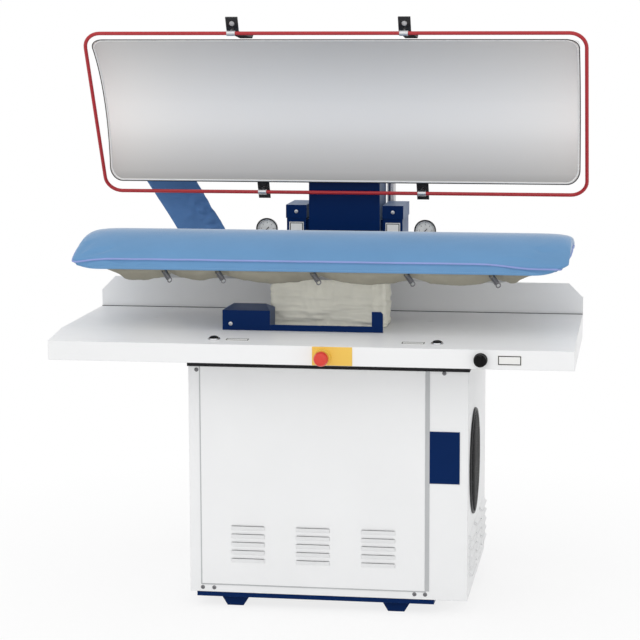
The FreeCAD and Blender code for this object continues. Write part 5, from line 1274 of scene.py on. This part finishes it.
class PRESS_OT_hose_sleeve(bpy.types.Operator):
    """Make the cloth sleeve that hangs between the head and the manifold"""

    bl_idname = "press.hose_sleeve"
    bl_label = "Hose sleeve"

    def execute(self, context):
        cloth = cloth_settings()
        points_of_node = [v.co for v in frame["nodes"]["hose_sleeve"].data.vertices]
        low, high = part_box("hose_sleeve")
        foot = middle_of([p for p in points_of_node if p.z < low.z + MERGE])
        top = middle_of([p for p in points_of_node if p.z > high.z - MERGE])
        half = max(p.x for p in points_of_node if p.z < low.z + MERGE) - foot.x
        half_thick = (high.y - low.y) / 2
        points = []
        faces = []
        for row in range(HOSE_ROWS + 1):
            t = row / HOSE_ROWS
            middle = foot.lerp(top, t)
            for step in range(HOSE_AROUND):
                points.append(self.sleeve_point(middle, t, math.tau * step / HOSE_AROUND, half, half_thick))
            if row:
                faces += ring_faces(HOSE_AROUND, (row - 1) * HOSE_AROUND, row * HOSE_AROUND)
        mesh = mesh_from("hose_cloth_sleeve", points, faces)
        mesh = applied(mesh, [subdivided(1), thickened(cloth.canvas_thick)])
        piece = new_piece("hose_cloth_sleeve", smoothed(mesh), "hose_cloth", None, ["hose_sleeve"])
        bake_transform(piece)
        return {"FINISHED"}

    def sleeve_point(self, middle, t, turn, half, half_thick):
        """A point of the flattened sleeve, with folds that deepen towards its right edge and its middle."""
        cloth = cloth_settings()
        across = math.cos(turn)
        ease = math.sin(math.pi * t)
        bow = half * (1.0 - HOSE_WAIST * ease)
        flat = math.copysign(abs(math.sin(turn)) ** HOSE_SQUARE, math.sin(turn)) * half_thick * HOSE_FLAT
        place = middle + Vector((across * bow, flat, 0.0))
        drift = Vector((across * HOSE_DRIFT_X[0] + t * HOSE_DRIFT_X[1],
                        t * HOSE_DRIFT_Y[1] - across * HOSE_DRIFT_Y[0], 0.0))
        deeper = HOSE_SHALLOW + HOSE_DEEPER * smooth_step(*HOSE_DEEP_SIDE, across)
        depth = cloth.wrinkle_depth * deeper * ease
        return place + Vector((0.0, ridged(drift, HOSE_RIDGE, HOSE_RIPPLE) * depth, 0.0))


def spring_hook_tree(values):
    """Spring hooks: a wound coil with an eye at each end."""
    tree, ports, output = new_tree("Spring hooks", values)
    radius = ports["Coil radius"]
    lines = [output_of(tree, "GeometryNodeCurveSpiral", {
        "Resolution": COIL_STEPS, "Rotations": ports["Turns"], "Start Radius": radius, "End Radius": radius,
        "Height": ports["Coil length"]})]
    eye = circle(tree, EYE_STEPS, radius)
    for end in (-1.0, 1.0):
        height = math_of(tree, "MULTIPLY", ports["Coil length"], 0.5 - EYE_REACH * end)
        lines.append(moved(tree, eye, translation=vector_of(tree, 0.0, 0.0, height), rotation=ABOUT_X))
    wire = tube_along(tree, joined(tree, lines), WIRE_SIDES, ports["Wire radius"], caps=True)
    return close_copies(tree, ports, output, wire, "spring_steel")


def screw_tree(values, slot):
    """Pan-head screws with a cross recess, one unit in radius before each point's size is applied."""
    tree, ports, output = new_tree("Screw heads", values)
    height = ports["Head height"]
    head = moved(tree, ball(tree, SCREW_SEGMENTS, SCREW_RINGS), scale=vector_of(tree, 1.0, 1.0, height))
    cut = tree.nodes.new("GeometryNodeMeshBoolean")
    cut.operation = "DIFFERENCE"
    tree.links.new(head, cut.inputs["Mesh 1"])
    deep = math_of(tree, "ADD", ports["Recess depth"], ports["Recess depth"])
    for x, y in ((RECESS_LENGTH, RECESS_WIDTH), (RECESS_WIDTH, RECESS_LENGTH)):
        bar = output_of(tree, "GeometryNodeMeshCube", {"Size": vector_of(tree, x, y, deep)})
        tree.links.new(moved(tree, bar, translation=vector_of(tree, 0.0, 0.0, height)), cut.inputs["Mesh 2"])
    return close_copies(tree, ports, output, cut.outputs["Mesh"], slot)


def loop_mesh(name, points):
    """A closed loop of edges."""
    mesh = bpy.data.meshes.new(name)
    count = len(points)
    edges = [(i - 1, i) if i else (count - 1, 0) for i in range(count)]
    mesh.from_pydata([tuple(p) for p in points], edges, [])
    return mesh


def sweep_tree(values, name, slot, sides):
    """A round cord along the edges of the start mesh."""
    tree, ports, output = new_tree(name, values)
    path = output_of(tree, "GeometryNodeMeshToCurve", {"Mesh": ports["Geometry"]})
    return close_tree(tree, output, tube_along(tree, path, sides, ports["Radius"]), slot)


def halved(tree, value):
    return math_of(tree, "MULTIPLY", value, 0.5)


def stitch_tree(values):
    """Stitches: short fat grains of thread along X."""
    tree, ports, output = new_tree("Stitches", values)
    radius = ports["Thread radius"]
    size = vector_of(tree, halved(tree, ports["Stitch length"]), radius, radius)
    grain = moved(tree, ball(tree, STITCH_SEGMENTS, STITCH_RINGS), scale=size)
    return close_copies(tree, ports, output, grain, "thread")


def tick_tree(values):
    """Dial marks: flat bars along X, lying on a dial that looks along -Y."""
    tree, ports, output = new_tree("Dial marks", values)
    size = vector_of(tree, ports["Length"], ports["Height"], ports["Width"])
    bar = output_of(tree, "GeometryNodeMeshCube", {"Size": size})
    return close_copies(tree, ports, output, bar, "print_black")


def bolt_tree(values):
    """Hexagon bolts on washers, one unit in radius before each point's size is applied."""
    tree, ports, output = new_tree("Bracket bolts", values)
    parts = []
    for sides, radius, height in ((6, 1.0, ports["Head height"]),
                                  (WASHER_SIDES, ports["Washer radius"], ports["Washer height"])):
        lift = vector_of(tree, 0.0, 0.0, halved(tree, height))
        parts.append(moved(tree, drum(tree, sides, radius, height), translation=lift))
    return close_copies(tree, ports, output, joined(tree, parts), "plain_steel")


def bar_fitting_tree(values):
    """Fittings of the safety bar: a clip along X around the bar and a headed stem along Z."""
    tree, ports, output = new_tree("Bar fittings", values)
    rise = ports["Stem rise"]
    parts = []
    for radius, depth, height, turn in (("Clip radius", ports["Clip length"], 0.0, ABOUT_Y),
                                        ("Stem radius", rise, halved(tree, rise), UPRIGHT),
                                        ("Head radius", ports["Stem radius"], rise, UPRIGHT)):
        shape = drum(tree, FITTING_SIDES, ports[radius], depth)
        parts.append(moved(tree, shape, translation=vector_of(tree, 0.0, 0.0, height), rotation=turn))
    return close_copies(tree, ports, output, joined(tree, parts), "plain_steel")


def hoop_tree(values):
    """Round rims, one unit in radius before each point's size is applied, looking along Z."""
    tree, ports, output = new_tree("Gauge rims", values)
    hoop = tube_along(tree, circle(tree, GAUGE_STEPS, 1.0), CORD_SIDES, ports["Rim radius"])
    return close_copies(tree, ports, output, hoop, "black_metal")


def chord_wires(tree, ports):
    """Upright wires side by side along Y, each as long as a round opening is high at its place."""
    radius = ports["Opening radius"]
    end = math_of(tree, "SUBTRACT", radius, ports["Pitch"])
    start = math_of(tree, "SUBTRACT", 0.0, end)
    line = output_of(tree, "GeometryNodeMeshLine", {
        "Count": ports["Wires"], "Start Location": vector_of(tree, 0.0, start, 0.0),
        "Offset": vector_of(tree, 0.0, end, 0.0)}, mode="END_POINTS")
    place = output_of(tree, "GeometryNodeInputPosition")
    across = output_of(tree, "ShaderNodeSeparateXYZ", {"Vector": place}, "Y")
    squares = [math_of(tree, "MULTIPLY", value, value) for value in (radius, across)]
    half = math_of(tree, "SQRT", math_of(tree, "SUBTRACT", *squares))
    wire = drum(tree, WIRE_SIDES, ports["Wire radius"], 2.0)
    return output_of(tree, "GeometryNodeInstanceOnPoints", {
        "Points": line, "Instance": wire, "Scale": vector_of(tree, 1.0, 1.0, half)})


def guard_tree(values):
    """Fan guard: two layers of crossing wires in a round rim, looking along X."""
    tree, ports, output = new_tree("Fan guard", values)
    upright = chord_wires(tree, ports)
    twice = math_of(tree, "ADD", ports["Wire radius"], ports["Wire radius"])
    level = moved(tree, upright, translation=vector_of(tree, twice, 0.0, 0.0), rotation=ABOUT_X)
    hoop = circle(tree, GUARD_STEPS, ports["Opening radius"])
    rim = tube_along(tree, hoop, BEAD_SIDES, ports["Rim radius"])
    whole = joined(tree, (upright, level, moved(tree, rim, rotation=ABOUT_Y)))
    return close_copies(tree, ports, output, whole, "black_metal")


def lettered(text, height, depth):
    """Points and faces of a text that stands upright and looks to the front."""
    curve = bpy.data.curves.new("lettering", "FONT")
    curve.body = text
    curve.size = height
    curve.extrude = depth
    curve.resolution_u = LETTER_STEPS
    curve.align_x = "CENTER"
    curve.align_y = "CENTER"
    carrier = bpy.data.objects.new("lettering", curve)
    bpy.context.scene.collection.objects.link(carrier)
    mesh = taken_from(carrier)
    points = [Vector((v.co.x, -v.co.z, v.co.y)) for v in mesh.vertices]
    return points, [tuple(p.vertices) for p in mesh.polygons]


class PRESS_OT_gauge_marks(bpy.types.Operator):
    """Mark the gauge dials with ticks and numbers"""

    bl_idname = "press.gauge_marks"
    bl_label = "Gauge marks"

    def execute(self, context):
        sizes = hardware_settings()
        places = []
        turns = []
        scales = []
        points = []
        faces = []
        for island, sides in islands("gauge_dials"):
            middle = middle_of(island)
            radius = max(p.x for p in island) - middle.x
            middle.y = min(p.y for p in island)
            for tick in range(sizes.tick_count):
                turn = math.pi / 2 + sizes.tick_sweep * (0.5 - tick / (sizes.tick_count - 1))
                way = Vector((math.cos(turn), 0.0, math.sin(turn)))
                places.append(middle + way * radius * TICK_PLACE)
                turns.append((0.0, -turn, 0.0))
                main = tick % TICKS_PER_NUMBER == 0
                scales.append(1.0 if main else SMALL_TICK)
                if main:
                    text = str(tick // TICKS_PER_NUMBER * NUMBER_STEP)
                    self.add_number(text, middle + way * radius * NUMBER_PLACE, points, faces)
        start = marked_points("tick_places", places, turns, scales)
        ticks = grown("gauge_ticks", start, tick_tree, {
            "Length": sizes.tick_length, "Width": sizes.tick_width, "Height": sizes.print_height})
        new_piece("gauge_ticks", ticks, "print_black", "frame")
        numbers = merged(mesh_from("gauge_numbers", points, faces, smooth=False))
        new_piece("gauge_numbers", numbers, "print_black", "frame")
        return {"FINISHED"}

    def add_number(self, text, place, points, faces):
        sizes = hardware_settings()
        start = len(points)
        shape, sides = lettered(text, sizes.number_height, sizes.print_height / 2)
        points.extend(place + p for p in shape)
        faces.extend(tuple(start + i for i in side) for side in sides)


class PRESS_OT_label_borders(bpy.types.Operator):
    """Print a plain border on every blank label, and add the grey lines around the panel (painted shade of its
    gaps) and the dark strips of the table
    """

    bl_idname = "press.label_borders"
    bl_label = "Label borders and seals"

    def execute(self, context):
        sizes = hardware_settings()
        points = []
        faces = []
        for island, sides in islands("label_plates"):
            normal, corners = largest_side(sides, LABEL_FRONT)
            self.add_frame(normal, corners, -sizes.border_inset, -sizes.border_inset - sizes.border_width,
                           sizes.print_height, points, faces)
        borders = mesh_from("label_borders", points, faces, smooth=False)
        new_piece("label_borders", borders, "print_black", "frame")
        self.panel_seal()
        self.table_gasket()
        return {"FINISHED"}

    def panel_seal(self):
        # Grey lines standing out of the frame and a band along the right edge: painted shade of the gaps around
        # the panel
        sizes = hardware_settings()
        low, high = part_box("front_panel")
        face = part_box("cabinet_front_frame")[0].y
        corners = [Vector((x, face, z)) for x in (low.x, high.x) for z in (low.z, high.z)]
        points = []
        faces = []
        self.add_frame(FRONT, corners, sizes.shade_line_width, sizes.print_height, sizes.shade_line_height,
                       points, faces)
        self.add_block(Vector((high.x + sizes.shade_line_width, face - sizes.shade_line_height, low.z)),
                       Vector((high.x + sizes.shade_line_width + sizes.shade_band_width, face, high.z)), points, faces)
        seal = mesh_from("panel_seal", points, faces, smooth=False)
        new_piece("panel_seal", seal, "seal_grey", "frame")

    def table_gasket(self):
        """The dark strip under the table on three sides, a painted shadow of the gap between cabinet and table,
        and a thin dark strip along the joint between shelf and upstand.
        """
        sizes = hardware_settings()
        low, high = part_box("cabinet_front_frame")
        deep = sizes.shadow_gap_depth
        foot = high.z - sizes.shadow_gap_height
        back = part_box("table_top")[1].y
        points = []
        faces = []
        self.add_block(Vector((low.x - deep, low.y - deep, foot)), Vector((high.x + deep, low.y, high.z)),
                       points, faces)
        for side, x in ((-1.0, low.x), (1.0, high.x)):
            near, far = sorted((x, x + side * deep))
            self.add_block(Vector((near, low.y, foot)), Vector((far, back, high.z)), points, faces)
        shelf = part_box("table_top")[1].z
        low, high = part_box("table_upstand")
        self.add_block(Vector((low.x, low.y - deep, shelf)),
                       Vector((high.x, low.y, shelf + sizes.joint_height)), points, faces)
        gasket = mesh_from("table_gasket", points, faces, smooth=False)
        new_piece("table_gasket", gasket, "print_black", "frame")

    def add_block(self, low, high, points, faces):
        """A plain strip between two corners."""
        start = len(points)
        for z in (low.z, high.z):
            points += [Vector((low.x, low.y, z)), Vector((high.x, low.y, z)), Vector((high.x, high.y, z)),
                       Vector((low.x, high.y, z))]
        faces += ring_faces(4, start, start + 4)
        faces += [tuple(range(start + 3, start - 1, -1)), tuple(range(start + 4, start + 8))]

    def add_frame(self, normal, corners, outer, inner, height, points, faces):
        """A raised frame on a flat side, between two distances out from the side's edge."""
        up = normal.cross(RIGHT).normalized()
        right = up.cross(normal)
        middle = middle_of(corners)
        half_right = max(abs((p - middle).dot(right)) for p in corners)
        half_up = max(abs((p - middle).dot(up)) for p in corners)
        start = len(points)
        for out, lift in ((outer, 0.0), (outer, height), (inner, height), (inner, 0.0)):
            for sx, sy in ((-1, -1), (1, -1), (1, 1), (-1, 1)):
                corner = middle + right * sx * (half_right + out) + up * sy * (half_up + out)
                points.append(corner + normal * lift)
        for loop in range(4):
            faces.extend(ring_faces(4, start + 4 * loop, start + 4 * ((loop + 1) % 4)))


class PRESS_OT_bar_fasteners(bpy.types.Operator):
    """Make the bolts of the brackets and the clips around the safety bar"""

    bl_idname = "press.bar_fasteners"
    bl_label = "Bar bolts and clips"

    def execute(self, context):
        sizes = hardware_settings()
        bolts = []
        clips = []
        for island, sides in islands("bar_brackets"):
            normal, points = largest_side(sides, HEAD_FRONT)
            bolt, clip = self.places(normal, points)
            bolts.append(bolt)
            clips.append(clip)
        start = marked_points("bolt_places", bolts, [facing(normal)] * len(bolts),
                              [sizes.bolt_radius] * len(bolts))
        mesh = grown("bracket_bolts", start, bolt_tree, BOLT_SHAPE)
        new_piece("bracket_bolts", mesh, "plain_steel", "head")
        start = marked_points("clip_places", clips, [facing(-normal)] * len(clips), [1.0] * len(clips))
        mesh = grown("bar_fittings", start, bar_fitting_tree, {
            "Clip radius": sizes.clip_radius, "Clip length": sizes.clip_length,
            "Stem radius": sizes.stem_radius, "Stem rise": sizes.stem_rise, "Head radius": sizes.stem_head})
        new_piece("bar_fittings", mesh, "plain_steel", "guard_bar")
        self.tube(normal)
        return {"FINISHED"}

    def run_of_bar(self, normal):
        """The bar's loop in its own plane: radius, level along the normal, right end, bottom and top."""
        up = normal.cross(RIGHT).normalized()
        bar = [v.co for v in frame["nodes"]["safety_bar"].data.vertices]
        end = max(p.x for p in bar)
        ends = [p for p in bar if p.x > BAR_ENDS * end]
        level = (max(p.dot(normal) for p in ends) + min(p.dot(normal) for p in ends)) / 2
        radius = max(p.dot(normal) for p in ends) - level
        bottom = min(p.dot(up) for p in ends) + radius
        top = max(p.dot(up) for p in ends) - radius
        return up, radius, level, end - radius, bottom, top

    def tube(self, normal):
        """The red bar itself, bent round its corners."""
        sizes = hardware_settings()
        up, radius, level, right, bottom, top = self.run_of_bar(normal)
        corner = sizes.bar_corner
        path = []
        corners = ((1, 1, top), (-1, 1, top), (-1, -1, bottom), (1, -1, bottom))
        for quarter, (sx, side, height) in enumerate(corners):
            for step in range(BAR_CORNER_STEPS + 1):
                turn = math.pi / 2 * quarter + math.pi / 2 * step / BAR_CORNER_STEPS
                x = sx * (right - corner) + corner * math.cos(turn)
                y = height - side * corner + corner * math.sin(turn)
                path.append(Vector((x, 0.0, 0.0)) + up * y + normal * level)
        mesh = grown("safety_bar_tube", loop_mesh("bar_path", path), sweep_tree, {"Radius": radius},
                     "Safety bar", "red_enamel", BAR_SIDES)
        new_piece("safety_bar_tube", smoothed(mesh), "red_enamel", "guard_bar", ["safety_bar"])

    def places(self, normal, points):
        """Where a bracket's bolt and clip sit, from its front side and the run of the bar past it."""
        up, radius, level, right, bottom, top = self.run_of_bar(normal)
        above = middle_of(points).dot(up) > (top + bottom) / 2
        height = top if above else bottom
        side = 1.0 if above else -1.0
        nose = max(points, key=lambda p: p.dot(up) * side).dot(up)
        tip = [p.x for p in points if abs(p.dot(up) - nose) < radius]
        x = (max(tip) + min(tip)) / 2
        face = max(p.dot(normal) for p in points)
        bolt = Vector((x, 0.0, 0.0)) + up * (height + side * hardware_settings().bolt_offset) + normal * face
        clip = Vector((x, 0.0, 0.0)) + up * height + normal * level
        return bolt, clip


class PRESS_OT_rims(bpy.types.Operator):
    """Make the dark line and white rolled bead along the pressing face's edge, painted shadow and painted
    highlight, and the dark rims of the gauges
    """

    bl_idname = "press.rims"
    bl_label = "Rims"

    def execute(self, context):
        sizes = hardware_settings()
        self.face_edge()
        places = []
        scales = []
        for points, sides in islands("gauge_cases"):
            middle = middle_of(points)
            scales.append(max(p.x for p in points) - middle.x - sizes.gauge_rim / 2)
            places.append(Vector((middle.x, min(p.y for p in points), middle.z)))
        turns = [facing(FRONT)] * len(places)
        start = marked_points("rim_places", places, turns, scales)
        mesh = grown("gauge_rims", start, hoop_tree, {"Rim radius": sizes.gauge_rim / scales[0]})
        new_piece("gauge_rims", smoothed(mesh), "black_metal", "frame")
        return {"FINISHED"}

    def face_edge(self):
        """A dark line along the edge of the pressing face, a painted shadow, and a white rolled bead just
        inside it, a painted highlight of the rounded edge.
        """
        sizes = hardware_settings()
        surface = surface_of(frame["nodes"]["head_plate"].data)
        towards = HEAD_FRONT.normalized()
        edge = front_outline("head_plate", towards)
        inner = edge.copy()
        middle = middle_of([v.co for v in inner.vertices])
        half_x = max(v.co.x for v in inner.vertices) - middle.x
        up = towards.cross(RIGHT)
        half_up = max((v.co - middle).dot(up) for v in inner.vertices)
        shrink = Vector((1.0 - sizes.bead_inset / half_x, 1.0 - sizes.bead_inset / half_up,
                         1.0 - sizes.bead_inset / half_up))
        for vert in inner.vertices:
            vert.co = surface.find_nearest(middle + (vert.co - middle) * shrink)[0]
        mesh = grown("face_seal", edge, sweep_tree, {"Radius": sizes.shadow_line_radius}, "Edge seal",
                     "print_black", CORD_SIDES)
        new_piece("face_seal", smoothed(mesh), "print_black", "head")
        mesh = grown("face_bead", inner, sweep_tree, {"Radius": sizes.bead_radius}, "Rolled bead",
                     "label_white", BEAD_SIDES)
        new_piece("face_bead", smoothed(mesh), "label_white", "head")


class PRESS_OT_fan_guard(bpy.types.Operator):
    """Make the wire guard of the fan opening"""

    bl_idname = "press.fan_guard"
    bl_label = "Fan guard"

    def execute(self, context):
        sizes = hardware_settings()
        low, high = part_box("fan_grille")
        middle = (low + high) / 2
        rim = high.x - low.x
        radius = (high.z - low.z) / 2 - rim
        place = Vector((low.x + rim / 2, middle.y, middle.z))
        start = marked_points("guard_place", [place], [UPRIGHT], [1.0])
        mesh = grown("fan_wire_guard", start, guard_tree, {
            "Opening radius": radius, "Pitch": sizes.guard_pitch, "Wire radius": sizes.guard_wire,
            "Wires": int(2 * radius / sizes.guard_pitch), "Rim radius": rim})
        new_piece("fan_wire_guard", smoothed(mesh), "black_metal", "frame", ["fan_grille"])
        return {"FINISHED"}


class PRESS_OT_cover_hooks(bpy.types.Operator):
    """Make the spring hooks along the hem"""

    bl_idname = "press.cover_hooks"
    bl_label = "Cover hooks"

    def execute(self, context):
        sizes = hardware_settings()
        middle_y = middle_of([v.co for v in frame["nodes"]["cover_hooks"].data.vertices]).y
        places = []
        turns = []
        for points, faces in islands("cover_hooks"):
            top = max(points, key=lambda p: p.z)
            side = 1.0 if top.y > middle_y else -1.0
            places.append(Vector((top.x, top.y, top.z - sizes.hook_length * HOOK_HANG)))
            turns.append((HOOK_LEAN * side, HOOK_TURN, 0.0))
        start = marked_points("hook_places", places, turns, [1.0] * len(places))
        mesh = grown("cover_spring_hooks", start, spring_hook_tree, {
            "Coil radius": sizes.hook_coil, "Wire radius": sizes.hook_wire,
            "Coil length": sizes.hook_length, "Turns": sizes.hook_turns})
        new_piece("cover_spring_hooks", smoothed(mesh), "spring_steel", "frame", ["cover_hooks"])
        return {"FINISHED"}


class PRESS_OT_screws(bpy.types.Operator):
    """Make the cross-head screws of the cabinet and column lids"""

    bl_idname = "press.screws"
    bl_label = "Screws"

    def execute(self, context):
        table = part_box("table_top")[1].z
        heads = [points for points, faces in islands("panel_screws")]
        on_panel = [points for points in heads if middle_of(points).z < table]
        on_lids = [points for points in heads if middle_of(points).z > table]
        self.set_heads("panel_screw_heads", on_panel, "spring_steel", ["panel_screws"])
        self.set_heads("lid_screw_heads", on_lids, "plain_steel", [])
        return {"FINISHED"}

    def set_heads(self, name, heads, slot, replaced):
        places = []
        sizes = []
        for points in heads:
            middle = middle_of(points)
            places.append(Vector((middle.x, max(p.y for p in points), middle.z)))
            sizes.append(max(p.x for p in points) - middle.x)
        turns = [facing(FRONT)] * len(places)
        start = marked_points("screw_places", places, turns, sizes)
        mesh = grown(name, start, screw_tree, SCREW_SHAPE, slot)
        new_piece(name, mesh, slot, "frame", replaced)


class PRESS_OT_stage(bpy.types.Operator):
    """Set up the camera, the lamps, the floor and the surroundings"""

    bl_idname = "press.stage"
    bl_label = "Stage"

    def execute(self, context):
        stage = stage_settings()
        self.camera(context, stage)
        self.lamp(context, "key_lamp", stage.key_place, stage.key_power, stage.key_size)
        self.lamp(context, "fill_lamp", stage.fill_place, stage.fill_power, stage.fill_size)
        self.floor(context, stage)
        self.surroundings(context, stage)
        context.scene.view_settings.view_transform = "Standard"
        return {"FINISHED"}

    def camera(self, context, stage):
        data = bpy.data.cameras.new("front_camera")
        data.lens = stage.lens
        camera = bpy.data.objects.new("front_camera", data)
        context.scene.collection.objects.link(camera)
        level = math.cos(stage.elevation)
        back = Vector((math.sin(stage.azimuth) * level, -math.cos(stage.azimuth) * level,
                       math.sin(stage.elevation)))
        camera.rotation_mode = "QUATERNION"
        turn = (-back).to_track_quat("-Z", "Y") @ Euler((0.0, 0.0, stage.roll)).to_quaternion()
        camera.rotation_quaternion = turn
        camera.location = Vector(stage.target) + back * stage.distance
        context.scene.camera = camera

    def lamp(self, context, name, place, power, size):
        data = bpy.data.lights.new(name, "AREA")
        data.energy = power
        data.size = size
        lamp = bpy.data.objects.new(name, data)
        context.scene.collection.objects.link(lamp)
        lamp.location = place
        aim = Vector(stage_settings().target) - lamp.location
        lamp.rotation_euler = aim.to_track_quat("-Z", "Y").to_euler()

    def floor(self, context, stage):
        half = stage.floor_size / 2
        mesh = bpy.data.meshes.new("studio_floor")
        mesh.from_pydata([(-half, -half, 0.0), (half, -half, 0.0), (half, half, 0.0), (-half, half, 0.0)], [],
                         [(0, 1, 2, 3)])
        floor = bpy.data.objects.new("studio_floor", mesh)
        context.scene.collection.objects.link(floor)
        material, tree, shader = new_finish("studio_floor")
        set_inputs(tree, shader, {"Base Color": opaque(stage.floor_colour), "Roughness": stage.floor_rough})
        away = output_of(tree, "ShaderNodeVectorMath", {0: object_place(tree)}, "Value", operation="LENGTH")
        fade = ranged(tree, away, stage.floor_glow, 1.0, stage.floor_near, stage.floor_far)
        glow = output_of(tree, "ShaderNodeEmission", {"Strength": 1.0})
        mix = output_of(tree, "ShaderNodeMixShader", {
            "Fac": self.seen_straight(tree, fade), 1: shader.outputs["BSDF"], 2: glow})
        set_inputs(tree, tree.nodes["Material Output"], {"Surface": mix})
        mesh.materials.append(material)

    def seen_straight(self, tree, amount):
        """An amount for rays from the camera, mirrors and glass, and 0 for the light that falls on things."""
        rays = tree.nodes.new("ShaderNodeLightPath").outputs
        bright = math_of(tree, "MAXIMUM", rays["Is Camera Ray"], rays["Is Glossy Ray"])
        straight = math_of(tree, "MAXIMUM", bright, rays["Is Transmission Ray"])
        return math_of(tree, "MULTIPLY", straight, amount)

    def surroundings(self, context, stage):
        world = bpy.data.worlds.new("studio")
        context.scene.world = world
        world.use_nodes = True
        tree = world.node_tree
        strength = ranged(tree, self.seen_straight(tree, 1.0), stage.sky_level, 1.0)
        set_inputs(tree, tree.nodes["Background"], {"Color": (1.0, 1.0, 1.0, 1.0), "Strength": strength})


class PRESS_PT_panel(bpy.types.Panel):
    """Lists the steps that dress the press"""

    bl_idname = "PRESS_PT_panel"
    bl_label = "Laundry press"
    bl_space_type = "VIEW_3D"
    bl_region_type = "UI"
    bl_category = "Laundry press"

    def draw(self, context):
        for step in STEPS:
            self.layout.operator(step.bl_idname)


STEPS = (PRESS_OT_finishes, PRESS_OT_stage, PRESS_OT_buck_cover, PRESS_OT_under_cover,
         PRESS_OT_pedestal_sleeve, PRESS_OT_hose_sleeve, PRESS_OT_cover_hooks, PRESS_OT_screws,
         PRESS_OT_bar_fasteners, PRESS_OT_rims, PRESS_OT_fan_guard, PRESS_OT_gauge_marks,
         PRESS_OT_label_borders)
SETTINGS = {"press_stage": PressStageSettings, "press_finish": PressFinishSettings,
            "press_cloth": PressClothSettings, "press_hardware": PressHardwareSettings}


def register():
    for group in (*SETTINGS.values(), *STEPS, PRESS_PT_panel):
        bpy.utils.register_class(group)
    for name, group in SETTINGS.items():
        setattr(bpy.types.Scene, name, bpy.props.PointerProperty(type=group))


def unregister():
    for name in SETTINGS:
        delattr(bpy.types.Scene, name)
    for group in reversed((*SETTINGS.values(), *STEPS, PRESS_PT_panel)):
        bpy.utils.unregister_class(group)


def main():
    register()
    bpy.ops.press.finishes()
    bpy.ops.press.stage()
    bpy.ops.press.buck_cover()
    bpy.ops.press.under_cover()
    bpy.ops.press.pedestal_sleeve()
    bpy.ops.press.hose_sleeve()
    bpy.ops.press.cover_hooks()
    bpy.ops.press.screws()
    bpy.ops.press.bar_fasteners()
    bpy.ops.press.rims()
    bpy.ops.press.fan_guard()
    bpy.ops.press.gauge_marks()
    bpy.ops.press.label_borders()
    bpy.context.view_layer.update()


if __name__ == "__main__":
    main()
